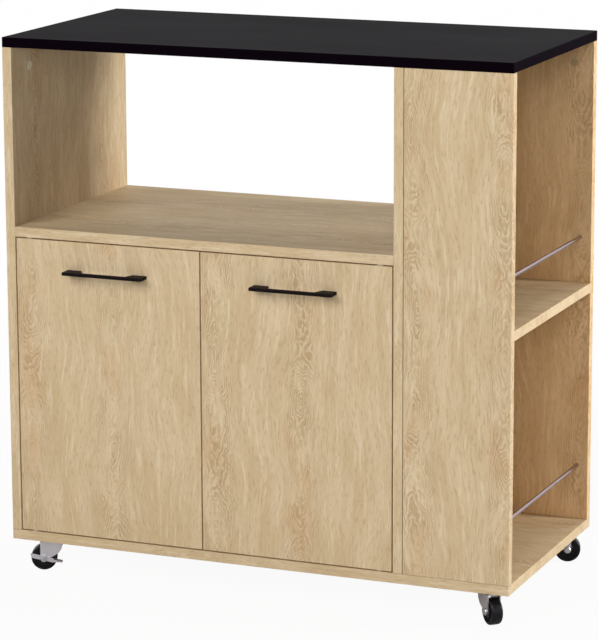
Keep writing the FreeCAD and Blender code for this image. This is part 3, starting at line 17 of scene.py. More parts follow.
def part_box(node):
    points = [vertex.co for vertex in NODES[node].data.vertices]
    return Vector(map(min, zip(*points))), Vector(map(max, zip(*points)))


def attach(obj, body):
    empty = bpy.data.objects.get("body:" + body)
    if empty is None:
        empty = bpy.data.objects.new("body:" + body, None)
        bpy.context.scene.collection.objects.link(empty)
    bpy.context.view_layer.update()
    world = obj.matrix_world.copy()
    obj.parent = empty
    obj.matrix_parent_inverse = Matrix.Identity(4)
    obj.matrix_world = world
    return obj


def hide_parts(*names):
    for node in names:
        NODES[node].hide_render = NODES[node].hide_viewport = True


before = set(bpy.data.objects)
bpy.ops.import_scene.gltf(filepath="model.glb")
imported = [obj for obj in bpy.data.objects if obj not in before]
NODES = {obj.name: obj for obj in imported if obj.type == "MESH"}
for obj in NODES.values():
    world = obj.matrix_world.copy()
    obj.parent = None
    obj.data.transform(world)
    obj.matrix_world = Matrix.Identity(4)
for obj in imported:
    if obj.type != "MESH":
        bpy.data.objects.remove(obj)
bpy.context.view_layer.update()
MM = 0.001
scene = bpy.context.scene

# %% [markdown]
# ## The camera
#
# The cart is seen from a little to its right and from above, through a long lens, so its upright edges stay
# nearly parallel. A lens length follows from the width of the view at the cart's distance. It could be found
# by trying, but here it was solved from the cart's own edges: each edge of a box of known size gives one
# line, and the camera is the one that puts all those lines in their places.

# %% Place the camera
EYE = Vector((1.767, -4.254, 1.402))
LOOK = Vector((-0.3756, 0.9039, -0.2047))
ROLL = math.radians(-0.215)
SHIFT = -0.05
FOCAL_PIXELS = 3110
LONG_SIDE = 640
SENSOR = 36
NEAR, FAR = 0.1, 50


def place_camera():
    """A camera at EYE that looks along LOOK."""
    data = bpy.data.cameras.new("camera")
    data.sensor_width = SENSOR
    data.lens = FOCAL_PIXELS / LONG_SIDE * SENSOR
    data.shift_y = SHIFT
    data.clip_start = NEAR
    data.clip_end = FAR
    camera = bpy.data.objects.new("camera", data)
    turn = LOOK.to_track_quat("-Z", "Y").to_matrix() @ Matrix.Rotation(ROLL, 3, "Z")
    camera.matrix_world = Matrix.Translation(EYE) @ turn.to_4x4()
    scene.collection.objects.link(camera)
    scene.camera = camera
    return camera


camera = place_camera()
print("lens:", round(camera.data.lens, 1), "mm")

# %% [markdown]
# ## Shader maths as Python
#
# A procedural finish is arithmetic on the surface's coordinates. Wiring each Math node by hand hides the
# formula, so a small class wraps an output socket and turns +, -, * and / into Math nodes. Every other node
# comes from one method, which sets the node's options first and then its sockets.


# %% A socket with arithmetic
class Wire:
    """One output socket, with arithmetic that adds Math nodes."""

    def __init__(self, finish, socket):
        self.finish = finish
        self.socket = socket

    def math(self, operation, *others):
        """A Math node on this wire and the others, in that order."""
        sockets = dict(enumerate([self, *others]))
        return self.finish.add("ShaderNodeMath", 0, {"operation": operation}, sockets)

    def __add__(self, other):
        return self.math("ADD", other)

    def __radd__(self, other):
        return self.math("ADD", other)

    def __sub__(self, other):
        return self.math("SUBTRACT", other)

    def __rsub__(self, other):
        return (self * -1) + other

    def __mul__(self, other):
        return self.math("MULTIPLY", other)

    def __rmul__(self, other):
        return self.math("MULTIPLY", other)

    def __truediv__(self, other):
        return self.math("DIVIDE", other)

    def ramp(self, start, end):
        """0 below start, 1 above end, and smooth between them. It falls where start is above end."""
        limits = {"From Min": start, "From Max": end, "Value": self}
        return self.finish.add("ShaderNodeMapRange", "Result", {"interpolation_type": "SMOOTHSTEP"}, limits)


# %% A material under construction
# A Mix node has sockets for numbers, vectors and colours. These are the numbers of its colour sockets.
MIX_FIRST, MIX_SECOND, MIX_RESULT = 6, 7, 2


class Finish:
    """A material with one Principled shader, built from wires."""

    def __init__(self, name, **values):
        self.material = bpy.data.materials.new(name)
        self.material.use_nodes = True
        self.tree = self.material.node_tree
        self.shader = next(n for n in self.tree.nodes if n.type == "BSDF_PRINCIPLED")
        for socket, value in values.items():
            self.set(socket.replace("_", " "), value)

    def add(self, kind, output, settings=None, sockets=None):
        """A node of that kind; returns one of its outputs as a wire."""
        node = self.tree.nodes.new(kind)
        for option, value in (settings or {}).items():
            setattr(node, option, value)
        for socket, value in (sockets or {}).items():
            if isinstance(value, Wire):
                self.tree.links.new(value.socket, node.inputs[socket])
            else:
                node.inputs[socket].default_value = value
        return Wire(self, node.outputs[output])

    def set(self, socket, value):
        """Links a wire to the shader's socket, or sets its number or colour."""
        if isinstance(value, Wire):
            self.tree.links.new(value.socket, self.shader.inputs[socket])
        elif isinstance(value, tuple):
            self.shader.inputs[socket].default_value = (*value, 1)
        else:
            self.shader.inputs[socket].default_value = value

    def place(self):
        """The surface's place in metres, as one vector."""
        return self.add("ShaderNodeTexCoord", "Object")

    def position(self):
        """The same place as three wires, x, y and z."""
        place = self.place()
        return [self.add("ShaderNodeSeparateXYZ", axis, None, {0: place}) for axis in "XYZ"]

    def vector(self, x, y, z):
        """Three numbers or wires as one vector."""
        return self.add("ShaderNodeCombineXYZ", 0, None, {0: x, 1: y, 2: z})

    def noise(self, place, scale, detail=2.0, roughness=0.5):
        """Cloudy values between 0 and 1."""
        sockets = {"Vector": place, "Scale": scale, "Detail": detail, "Roughness": roughness}
        return self.add("ShaderNodeTexNoise", "Fac", None, sockets)

    def blend(self, factor, first, second):
        """The first colour where factor is 0, the second where it is 1."""
        first, second = ((*c, 1) if isinstance(c, tuple) else c for c in (first, second))
        sockets = {0: factor, MIX_FIRST: first, MIX_SECOND: second}
        return self.add("ShaderNodeMix", MIX_RESULT, {"data_type": "RGBA"}, sockets)

    def relief(self, height, depth, strength=1.0):
        """Bumps the shader's normal by a height between 0 and 1, depth metres high."""
        sockets = {"Height": height, "Distance": depth, "Strength": strength}
        self.set("Normal", self.add("ShaderNodeBump", "Normal", None, sockets))


def dress(finish, *names):
    """Gives CAD nodes their material, in the slot that they already have."""
    for name in names:
        for slot in NODES[name].material_slots:
            slot.material = finish.material


# %% [markdown]
# ## Light oak laminate
#
# The boards are particle board under a printed oak film. A flat-sawn log shows nested ovals and arches where
# the saw passes close to the pith, and straight lines beside them. An image would repeat on every board, so
# the log itself is modelled: each growth ring is a shell round the pith, the pith wanders along the board,
# and the surface shows where it cuts the shells. The same formula then also suits the boards' edges.
#
# The colour goes on in thin coats, as a printer lays them: tan bands, olive patches, pale and tan streaks,
# the rings' pale and amber patches, fine fibres, and last the ring lines. Each coat has a mask that comes
# from one of a few clouds, stretched along the grain. Where boards meet, a last coat is a dark line along the
# joint: partly the joint's own dark line, partly painted shade of the hairline gap, which is too narrow to
# model.
# One board can be painted a little warmer than its neighbours, as painted light bounced warm from the oak
# round it.

# %% The film's colours and sizes
OAK = {
    "light": (0.755, 0.588, 0.372),
    "tan": (0.620, 0.446, 0.252),
    "olive": (0.630, 0.486, 0.268),
    "ring": (0.410, 0.255, 0.118),
    "pale": (0.865, 0.715, 0.498),
    "amber": (0.680, 0.440, 0.230),
    "seam": (0.120, 0.080, 0.040),
}
# Each cloud: how fast it changes across the grain and along it, per metre, then its detail and roughness, and
# an offset that keeps it apart from the other clouds.
CLOUDS = {
    "drift": (7, 4.5, 1.0, 0.5, 5.0),
    "wobble": (55, 34, 1.0, 0.5, 9.0),
    "crinkle": (130, 75, 1.0, 0.5, 11.0),
    "worn": (42, 16, 2.0, 0.6, 3.0),
    "bands": (34, 6, 2.0, 0.5, 1.0),
    "tint": (26, 11, 2.0, 0.5, 7.0),
    "streaks": (165, 13, 2.0, 0.6, 2.0),
    "fibre": (560, 75, 2.0, 0.6, 4.0),
}
STREAK_DRIFT = 0.075
RING_DRIFT = 0.030
RING_WOBBLE = 0.007
RING_STEP = 0.0037
PITH_CHANGE = 5.2
PITH_WANDER = 0.19
HEART_WIDTH = 0.036
SEAM_HALF = 0.0008
print("oak colours:", len(OAK), "clouds:", len(CLOUDS), "rings every", RING_STEP / MM, "mm")


# %% The oak formula
def pith_distances(finish, along, side, hearts, seed):
    """How far the surface is from the nearest pith: round it, as a ring is, and then straight across."""
    radius, nearest = None, None
    for number, heart in enumerate(hearts):
        offset = side - heart
        spot = finish.vector(along * PITH_CHANGE + seed * 3, number * 7.3, seed)
        course = (finish.noise(spot, 1.0, 1.0) - 0.46) * PITH_WANDER
        here = (offset * offset * 1.8 + course * course).math("SQRT")
        reach = offset.math("ABSOLUTE")
        radius = here if radius is None else radius.math("MINIMUM", here)
        nearest = reach if nearest is None else nearest.math("MINIMUM", reach)
    return radius, nearest


def oak(name, grain, across, hearts, seed, seams=(), painted_bounce_warmth=0.0):
    """Oak film with its grain along one axis and the places of its piths on another.

    The seams are joints with a dark line, partly their own colour and partly painted shade of the gap, each
    an axis and the place on it.
    """
    finish = Finish(name, Specular_IOR_Level=0.12)
    # Painted warm bounce light: red is raised and blue lowered by the board's painted warmth.
    hue = {part: (red * (1 + painted_bounce_warmth), green, blue * (1 - painted_bounce_warmth)) for part, (red, green, blue) in OAK.items()}
    place = dict(zip("XYZ", finish.position()))
    through = ({"X", "Y", "Z"} - {grain, across}).pop()
    along, side, deep = place[grain], place[across], place[through]

    def cloud(kind, start):
        """One of the clouds, with its first coordinate across the grain."""
        crosswise, lengthwise, detail, roughness, offset = CLOUDS[kind]
        spot = finish.vector(start * crosswise + offset, deep * crosswise + seed, along * lengthwise + offset)
        return finish.noise(spot, 1.0, detail, roughness)

    drift, wobble, crinkle = (cloud(kind, side) - 0.5 for kind in ("drift", "wobble", "crinkle"))
    flowing = side + drift * STREAK_DRIFT
    bent = side + drift * RING_DRIFT + wobble * RING_WOBBLE
    worn, bands, tint, streaks, fibre = (
        cloud(kind, flowing) for kind in ("worn", "bands", "tint", "streaks", "fibre")
    )

    radius, nearest = pith_distances(finish, along, bent, hearts, seed)
    phase = radius / RING_STEP + wobble * 1.6 + crinkle * 2.2
    rings = phase.math("FRACT")
    figure = nearest.ramp(HEART_WIDTH, HEART_WIDTH * 0.45)
    lines = rings.ramp(0.05, 0.75) * rings.ramp(1.0, 0.86) * figure * worn.ramp(0.38, 0.62)

    coats = [
        (bands.ramp(0.34, 0.68) * 0.50, "tan"),
        (tint.ramp(0.52, 0.70) * 0.45, "olive"),
        (streaks.ramp(0.48, 0.28) * 0.60, "pale"),
        (streaks.ramp(0.52, 0.74) * 0.50, "tan"),
        (figure * rings.ramp(0.75, 0.15) * 0.30, "pale"),
        (figure * tint.ramp(0.50, 0.34) * 0.38, "amber"),
        (fibre.ramp(0.48, 0.76) * 0.45, "ring"),
        (lines * 0.44, "ring"),
    ]
    for axis, level in seams:
        # A dark line along each joint: partly the joint's own colour, partly painted shade of its hairline
        # gap.
        joint = (place[axis] - level).math("ABSOLUTE").ramp(SEAM_HALF, SEAM_HALF * 0.5)
        coats.append((joint * 0.80, "seam"))
    colour = hue["light"]
    for mask, part in coats:
        colour = finish.blend(mask, colour, hue[part])
    finish.set("Base Color", colour)
    finish.set("Roughness", 0.50 + streaks * 0.12)
    finish.relief(1 - fibre.ramp(0.60, 0.80), depth=0.00006, strength=0.5)
    return finish


# %% Dress the oak boards
# Each board: the axis of its grain, the axis across it, and the piths' distances from its low side there.
BOARDS = {
    "left_door": ("Z", "X", (0.020, 0.158)),
    "right_door": ("Z", "X", (0.026, 0.157)),
    "column_front_panel": ("Z", "X", (0.018, 0.152)),
    "column_rear_panel": ("Z", "X", (0.150,)),
    "left_side_panel": ("Z", "Y", (0.075, 0.300)),
    "divider_panel": ("Z", "Y", (0.110, 0.290)),
    "bottom_board": ("X", "Y", (0.120, 0.330)),
    "microwave_shelf": ("X", "Y", (0.090, 0.260)),
    "column_shelf": ("X", "Y", (0.120, 0.300)),
    "cupboard_shelf": ("X", "Y", (0.080, 0.240)),
}
COLUMN_JOINT = ("X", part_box("divider_panel")[1][0])
FOOT_JOINT = ("Z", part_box("bottom_board")[1][2])
SEAMS = {
    "divider_panel": (COLUMN_JOINT, FOOT_JOINT),
    "column_front_panel": (COLUMN_JOINT, FOOT_JOINT),
    "left_side_panel": (FOOT_JOINT,),
}
# The column's rear panel is painted warmer, standing in for the warm light bounced onto it inside the column.
PAINTED_BOUNCE_WARMTH = {"column_rear_panel": 0.12}
SEED_STEP = 1.7

for number, (board, (grain, across, distances)) in enumerate(BOARDS.items(), start=2):
    low_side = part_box(board)[0]["XYZ".index(across)]
    hearts = [low_side + distance for distance in distances]
    seams, painted_bounce_warmth = SEAMS.get(board, ()), PAINTED_BOUNCE_WARMTH.get(board, 0.0)
    dress(oak(f"oak_{board}", grain, across, hearts, number * SEED_STEP, seams, painted_bounce_warmth), board)
print("oak boards:", len(BOARDS), "with dark joints:", len(SEAMS))

# %% [markdown]
# ## The black worktop
#
# The worktop is the same kind of board under a black film. Black needs reflections to be read as a surface,
# so the film keeps a satin sheen, with a very fine grain pressed into it and a few faint smears. Its upper
# face is painted a slightly lighter dark grey as a painted sheen, while the band round the edges stays black,
# so the colour changes with the height, over less than a millimetre under the upper face.

# %% Black laminate
BAND_BLACK = (0.0030, 0.0010, 0.0032)
# The upper face's lighter grey is a painted sheen; the edge band keeps the film's black.
FACE_PAINTED_SHEEN = (0.0070, 0.0058, 0.0072)
WORKTOP_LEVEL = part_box("worktop")[1][2]

black = Finish("black_laminate", Specular_IOR_Level=0.009)
x, y, z = black.position()
# Mask of the upper face, which gets the painted sheen.
face = z.ramp(WORKTOP_LEVEL - 0.0010, WORKTOP_LEVEL - 0.0002)
smear = black.noise(black.vector(x * 4, y * 11, z), 1.0, 3.0)
grit = black.noise(black.place(), 1400.0)
black.set("Base Color", black.blend(face, BAND_BLACK, FACE_PAINTED_SHEEN))
black.set("Roughness", 0.52 + smear * 0.10)
black.relief(grit, depth=0.00004, strength=0.6)
dress(black, "worktop")
print("the worktop's upper face is at", round(WORKTOP_LEVEL / MM, 1), "mm")

# %% [markdown]
# ## Metals, plastics and small woods
#
# Each small fitting gets the finish of its own making: rolled and zinc-plated sheet, turned steel, cast zinc,
# moulded plastic, bare beech and hardboard. What tells them apart is how rough they are and how that changes.
# Three colours also hold painted light: warm bounce light on the cast zinc, shade on the door pins' steel,
# and a dim, tinted reflection on the chrome.


# %% Finishes of the fittings
def metal(name, colour, rough, change=0.12, scale=90.0):
    """Bare or plated metal whose roughness is cloudy."""
    finish = Finish(name, Metallic=1.0)
    cloud = finish.noise(finish.place(), scale, 3.0)
    dull = tuple(c * 0.82 for c in colour)
    finish.set("Base Color", finish.blend(cloud, dull, colour))
    finish.set("Roughness", rough + (cloud - 0.5) * change)
    finish.relief(cloud, depth=0.00002, strength=0.4)
    return finish


def moulded(name, colour, rough, scale=700.0, gloss=0.5):
    """Moulded plastic or powder coat with a fine skin."""
    finish = Finish(name, Specular_IOR_Level=gloss)
    skin = finish.noise(finish.place(), scale)
    tone = finish.noise(finish.place(), 60.0)
    dull = tuple(c * 0.88 for c in colour)
    finish.set("Base Color", finish.blend(tone, dull, colour))
    finish.set("Roughness", rough + (skin - 0.5) * 0.14)
    finish.relief(skin, depth=0.00003, strength=0.5)
    return finish


zinc_sheet = metal("zinc_sheet", (0.60, 0.58, 0.62), rough=0.42, change=0.16, scale=45.0)
zinc_steel = metal("zinc_steel", (0.58, 0.58, 0.59), rough=0.30)
# The cast zinc is painted warm brown: painted bounce light from the oak round the cam nuts, over the zinc's
# grey.
cast_zinc_painted_bounce = metal("cast_zinc_painted_bounce", (0.56, 0.44, 0.28), rough=0.50, change=0.10, scale=300.0)
# The chrome's colour is darkened and tinted lavender as a painted reflection of a dimmer, tinted room.
chrome = metal("chrome", (0.48, 0.39, 0.41), rough=0.20, change=0.05, scale=30.0)
polished = metal("polished_steel", (0.72, 0.72, 0.74), rough=0.14, change=0.05, scale=60.0)
# The door pins' steel is painted dark and warm: painted shade of the narrow gap that they sit in.
pin_steel_painted_shade = metal("pin_steel_painted_shade", (0.16, 0.13, 0.10), rough=0.45, change=0.10, scale=200.0)
ferrite = metal("ferrite", (0.10, 0.10, 0.11), rough=0.60, change=0.10, scale=500.0)
powder_coat = moulded("black_powder_coat", (0.006, 0.003, 0.0035), rough=0.55, scale=1500.0, gloss=0.08)
wheel_black = moulded("wheel_black", (0.004, 0.003, 0.005), rough=0.30, scale=300.0, gloss=0.22)
nylon = moulded("nylon", (0.70, 0.69, 0.64), rough=0.45)
brown_plastic = moulded("brown_plastic", (0.16, 0.10, 0.06), rough=0.45)
cap_plastic = moulded("cap_plastic", (0.80, 0.70, 0.52), rough=0.40)
hardboard = moulded("hardboard", (0.36, 0.25, 0.15), rough=0.65, scale=1100.0)
beech = oak("beech", grain="X", across="Y", hearts=[0.0], seed=31.0)

# %% Dress the fittings
SIDES = ("left", "right")
CASTERS = ("front_left", "front_right", "rear_left", "rear_right")
BRAKED = ("front_left", "rear_left")

dress(hardboard, "cupboard_back")
dress(cast_zinc_painted_bounce, "cam_nuts")
dress(zinc_steel, "cam_bolts", "base_screws", "shelf_pins", "catch_screws", "kingpins", "caster_screws")
dress(cap_plastic, "cam_caps")
dress(beech, "wood_dowels")
dress(chrome, "upper_rail", "lower_rail")
dress(nylon, "pivot_bushes")
dress(brown_plastic, "catch_housings")
dress(ferrite, "catch_magnets")
for side in SIDES:
    dress(powder_coat, f"{side}_handle")
    # The pins get steel painted with the shade of their gap.
    dress(pin_steel_painted_shade, f"{side}_door_pins")
    dress(zinc_steel, f"{side}_handle_screws", f"{side}_strike_screw")
    dress(zinc_sheet, f"{side}_strike_plate")
for caster in CASTERS:
    dress(zinc_sheet, f"{caster}_plate", f"{caster}_fork")
    dress(polished, f"{caster}_balls")
    dress(zinc_steel, f"{caster}_axle")
    dress(wheel_black, f"{caster}_wheel")
for caster in BRAKED:
    dress(zinc_sheet, f"{caster}_brake_lever")
print("doors:", len(SIDES), "casters:", len(CASTERS), "with a brake:", len(BRAKED))

# %% [markdown]
# ## Repeated shapes from Geometry Nodes
#
# Screws come in sets, and so do the ribs of a moulded wheel. Copying a finished mesh in a loop would work,
# but then the shape of one piece and the places of all of them are mixed in one pile of code. In Geometry
# Nodes the tree describes one screw or one rib with named sizes, and the points that it is given say where
# they go. A small class builds such a tree, runs it once, and keeps only the plain mesh.

# %% A Geometry Nodes tree under construction
SHARP_ANGLE = math.radians(32)


class Recipe:
    """A Geometry Nodes tree with named inputs, and the steps that run it."""

    def __init__(self, name, inputs):
        self.tree = bpy.data.node_groups.new(name, "GeometryNodeTree")
        face = self.tree.interface
        face.new_socket("Points", in_out="INPUT", socket_type="NodeSocketGeometry")
        self.keys = {}
        for label, kind in inputs.items():
            socket = face.new_socket(label, in_out="INPUT", socket_type="NodeSocket" + kind)
            self.keys[label] = socket.identifier
        face.new_socket("Result", in_out="OUTPUT", socket_type="NodeSocketGeometry")
        self.given = self.tree.nodes.new("NodeGroupInput").outputs

    def add(self, kind, settings=None, sockets=None):
        """A node of that kind, options first; returns its outputs.

        A socket takes a value or another output, or a list of these.
        """
        node = self.tree.nodes.new(kind)
        for option, value in (settings or {}).items():
            setattr(node, option, value)
        for socket, value in (sockets or {}).items():
            for each in value if isinstance(value, list) else [value]:
                if isinstance(each, bpy.types.NodeSocket):
                    self.tree.links.new(each, node.inputs[socket])
                else:
                    node.inputs[socket].default_value = each
        return node.outputs

    def triple(self, x, y, z):
        """Three numbers or outputs as one vector."""
        return self.add("ShaderNodeCombineXYZ", None, {0: x, 1: y, 2: z})[0]

    def place(self, geometry, translation=(0, 0, 0), rotation=(0, 0, 0), scale=(1, 1, 1)):
        """The geometry scaled, turned and moved."""
        sockets = {"Geometry": geometry, "Translation": translation, "Rotation": rotation, "Scale": scale}
        return self.add("GeometryNodeTransform", None, sockets)[0]

    def join(self, *geometries):
        """Several geometries as one."""
        return self.add("GeometryNodeJoinGeometry", None, {0: list(geometries)})[0]

    def end(self, geometry):
        """Makes the instances real, because the export drops them, and sets the material."""
        real = self.add("GeometryNodeRealizeInstances", None, {0: geometry})[0]
        named = {"Geometry": real, "Material": self.given["Material"]}
        result = self.add("GeometryNodeSetMaterial", None, named)[0]
        output = self.tree.nodes.new("NodeGroupOutput")
        self.tree.links.new(result, output.inputs[0])

    def run(self, name, start, values):
        """The tree's result on a starting mesh, as an object with a plain mesh."""
        piece = bpy.data.objects.new(name, start)
        scene.collection.objects.link(piece)
        modifier = piece.modifiers.new("recipe", "NODES")
        modifier.node_group = self.tree
        for label, value in values.items():
            modifier[self.keys[label]] = value
        ready = piece.evaluated_get(bpy.context.evaluated_depsgraph_get())
        mesh = bpy.data.meshes.new_from_object(ready)
        piece.modifiers.clear()
        piece.data = mesh
        mesh.name = name
        mesh.shade_smooth()
        mesh.set_sharp_from_angle(angle=SHARP_ANGLE)
        return piece


# %% [markdown]
# ## Screws with a cross recess
#
# Four screws hold each caster's plate, two hold each handle and catch, and one each strike plate. Their low
# domed heads have a cross for the screwdriver. A dome is half a flattened ball, so the tree starts from a UV
# sphere, and one Boolean cuts away its lower half and the two bars of the cross. The heads go where the
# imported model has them: each separate solid in a node is found by walking along its edges.

# %% A recipe for screws
BLOCK = 0.02


def make_screw_recipe():
    """Screws on points: z is 0 under the head, which rises towards +z before the turn."""
    inputs = {
        "Head Radius": "Float",
        "Head Height": "Float",
        "Shank Radius": "Float",
        "Shank Length": "Float",
        "Cross Width": "Float",
        "Turn": "Vector",
        "Material": "Material",
    }
    recipe = Recipe("screws_on_points", inputs)
    given = recipe.given
    radius, height, length = given["Head Radius"], given["Head Height"], given["Shank Length"]

    ball = recipe.add("GeometryNodeMeshUVSphere", None, {"Segments": 28, "Rings": 14, "Radius": 1.0})[0]
    dome = recipe.place(ball, scale=recipe.triple(radius, radius, height))
    block = recipe.add("GeometryNodeMeshCube", None, {"Size": (BLOCK, BLOCK, BLOCK)})[0]
    below = recipe.place(block, translation=(0, 0, -BLOCK / 2))
    bar_size = recipe.triple(radius, given["Cross Width"], height)
    bar = recipe.add("GeometryNodeMeshCube", None, {"Size": bar_size})[0]
    bar = recipe.place(bar, translation=recipe.triple(0, 0, height))
    other_bar = recipe.place(bar, rotation=(0, 0, math.pi / 2))
    cut = {"Mesh 1": dome, "Mesh 2": [below, bar, other_bar]}
    head = recipe.add("GeometryNodeMeshBoolean", {"operation": "DIFFERENCE", "solver": "EXACT"}, cut)[0]

    sizes = {"Vertices": 16, "Radius": given["Shank Radius"], "Depth": length}
    shank = recipe.add("GeometryNodeMeshCylinder", None, sizes)[0]
    middle = recipe.add("ShaderNodeMath", {"operation": "MULTIPLY"}, {0: length, 1: -0.5})[0]
    shank = recipe.place(shank, translation=recipe.triple(0, 0, middle))

    screw = recipe.join(head, shank)
    spread = {"Points": given["Points"], "Instance": screw, "Rotation": given["Turn"]}
    recipe.end(recipe.add("GeometryNodeInstanceOnPoints", None, spread)[0])
    return recipe


SCREW_RECIPE = make_screw_recipe()
print(SCREW_RECIPE.tree.name, "has", len(SCREW_RECIPE.tree.nodes), "nodes")

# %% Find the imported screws
MERGE_DISTANCE = 0.00001


def solids_of(node):
    """The lowest and highest corner of each separate solid in a CAD node."""
    work = bmesh.new()
    work.from_mesh(NODES[node].data)
    bmesh.ops.remove_doubles(work, verts=work.verts, dist=MERGE_DISTANCE)
    left = set(work.verts)
    corners = []
    while left:
        open_ends = [left.pop()]
        spots = []
        while open_ends:
            vertex = open_ends.pop()
            spots.append(vertex.co.copy())
            for edge in vertex.link_edges:
                neighbour = edge.other_vert(vertex)
                if neighbour in left:
                    left.remove(neighbour)
                    open_ends.append(neighbour)
        low = tuple(round(min(spot[i] for spot in spots), 6) for i in range(3))
        high = tuple(round(max(spot[i] for spot in spots), 6) for i in range(3))
        corners.append((low, high))
    work.free()
    return sorted(corners)


print("screws in the casters:", len(solids_of("caster_screws")))

# %% Put the screws in
# Which way the heads point: the axis, the end of the screw that is the head, and the turn from +z to there.
DOWN = ("Z", "low", (math.pi, 0, 0))
INWARD = ("Y", "high", (-math.pi / 2, 0, 0))
CROSS_SHARE = 0.16


def points_mesh(name, places):
    """A mesh of loose points."""
    mesh = bpy.data.meshes.new(name)
    mesh.from_pydata(places, [], [])
    return mesh


def place_screws(node, body, way, head, height, shank):
    """Replaces a node of screws by ones with these diameters and this height of head, in millimetres."""
    axis, end, turn = way
    number = "XYZ".index(axis)
    seats = []
    for low, high in solids_of(node):
        seat = [(a + b) / 2 for a, b in zip(low, high)]
        seat[number] = low[number] + height * MM if end == "low" else high[number] - height * MM
        length = high[number] - low[number] - height * MM
        seats.append(seat)
    values = {
        "Head Radius": head / 2 * MM,
        "Head Height": height * MM,
        "Shank Radius": shank / 2 * MM,
        "Shank Length": length,
        "Cross Width": head * CROSS_SHARE * MM,
        "Turn": turn,
        "Material": zinc_steel.material,
    }
    piece = SCREW_RECIPE.run(node + "_crossed", points_mesh(node, seats), values)
    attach(piece, body)
    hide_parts(node)
    print(piece.name, len(seats), "screws,", len(piece.data.polygons), "faces")


place_screws("caster_screws", "cabinet", DOWN, head=7.0, height=2.0, shank=3.5)
place_screws("catch_screws", "cabinet", DOWN, head=5.6, height=1.4, shank=3.0)
for side in SIDES:
    place_screws(f"{side}_handle_screws", f"{side}_door_leaf", INWARD, head=6.5, height=2.0, shank=3.0)
    place_screws(f"{side}_strike_screw", f"{side}_door_leaf", INWARD, head=5.6, height=1.4, shank=3.0)

# %% [markdown]
# ## Caster wheels with ribs
#
# Each wheel is moulded in one piece. Its tread bulges a little, a ring is sunk into each side to save
# plastic, and ribs across that ring tie the rim to the hub. Anything round is quickest as a profile spun
# round an axis, so Python draws half of the section and spins it. The ribs repeat, so they come from a tree:
# one rib is set on the points of a circle and turned outwards, and the whole set is used again upside down
# for the other side.

# %% Turn a wheel from its section
# In millimetres: radii of the bore, hub and rim, heights above the wheel's middle, and the rounded shoulder.
BORE = 3.2
HUB = 8.0
RIM = 15.0
SIDE_LEVEL = 8.5
RING_FLOOR = 6.5
CHAMFER = 0.5
SHOULDER_RADIUS = 2.5
SHOULDER_MIDDLE = (17.3, 6.0)
TREAD = [(19.95, 3.0), (20.0, 0.0)]
SPIN_STEPS = 72


def wheel_section():
    """The corners of the section's upper half as (radius, height), from the bore to the tread."""
    sunk_ring = [
        (BORE, SIDE_LEVEL),
        (HUB - CHAMFER, SIDE_LEVEL),
        (HUB, SIDE_LEVEL - CHAMFER),
        (HUB, RING_FLOOR),
        (RIM, RING_FLOOR),
        (RIM, SIDE_LEVEL - CHAMFER),
        (RIM + CHAMFER, SIDE_LEVEL),
    ]
    x, y = SHOULDER_MIDDLE
    arc = [math.radians(90 - step * 15) for step in range(7)]
    shoulder = [(x + SHOULDER_RADIUS * math.cos(a), y + SHOULDER_RADIUS * math.sin(a)) for a in arc]
    return [*sunk_ring, *shoulder, *TREAD]


def turned_wheel(name):
    """A closed wheel round the Z axis, with its middle at the origin."""
    upper = wheel_section()
    lower = [(radius, -height) for radius, height in reversed(upper[:-1])]
    work = bmesh.new()
    ring = [work.verts.new((radius * MM, 0, height * MM)) for radius, height in upper + lower]
    edges = [work.edges.new((a, b)) for a, b in zip(ring, ring[1:] + ring[:1])]
    whole_turn = {"axis": (0, 0, 1), "cent": (0, 0, 0), "angle": 2 * math.pi, "steps": SPIN_STEPS}
    bmesh.ops.spin(work, geom=ring + edges, **whole_turn)
    bmesh.ops.remove_doubles(work, verts=work.verts, dist=MERGE_DISTANCE)
    bmesh.ops.recalc_face_normals(work, faces=work.faces)
    mesh = bpy.data.meshes.new(name)
    work.to_mesh(mesh)
    work.free()
    return mesh


print("corners of half a section:", len(wheel_section()))


# %% A recipe for ribs
def make_rib_recipe():
    """Adds ribs to both sides of a wheel that lies in the XY plane, then puts it in its place."""
    inputs = {
        "Ribs": "Int",
        "Rib Size": "Vector",
        "Rib Radius": "Float",
        "Rib Level": "Float",
        "Turn": "Vector",
        "Centre": "Vector",
        "Material": "Material",
    }
    recipe = Recipe("wheel_ribs", inputs)
    given = recipe.given
    rib = recipe.add("GeometryNodeMeshCube", None, {"Size": given["Rib Size"]})[0]
    rib = recipe.place(rib, translation=recipe.triple(0, 0, given["Rib Level"]))
    circle = {"Vertices": given["Ribs"], "Radius": given["Rib Radius"]}
    points = recipe.add("GeometryNodeMeshCircle", None, circle)[0]
    spot = recipe.add("GeometryNodeInputPosition")[0]
    outwards = recipe.add("FunctionNodeAlignRotationToVector", {"axis": "X"}, {"Vector": spot})[0]
    spread = {"Points": points, "Instance": rib, "Rotation": outwards}
    ribs = recipe.add("GeometryNodeInstanceOnPoints", None, spread)[0]
    far_ribs = recipe.place(ribs, rotation=(math.pi, 0, 0))
    whole = recipe.join(given["Points"], ribs, far_ribs)
    recipe.end(recipe.place(whole, given["Centre"], given["Turn"]))
    return recipe


RIB_RECIPE = make_rib_recipe()
print(RIB_RECIPE.tree.name, "has", len(RIB_RECIPE.tree.nodes), "nodes")

# %% Put the wheels in
# The ribs, in millimetres. They stand on the ring's floor and are sunk into it a little.
RIBS = 9
RIB_SIZE = (7.4, 1.3, 1.3)
RIB_RADIUS = 11.5
RIB_SINK = 0.1
# The directions in which the casters trail, in degrees.
WHEEL_TRAILS = {"front_left": 202, "front_right": 314, "rear_left": 150, "rear_right": 17}

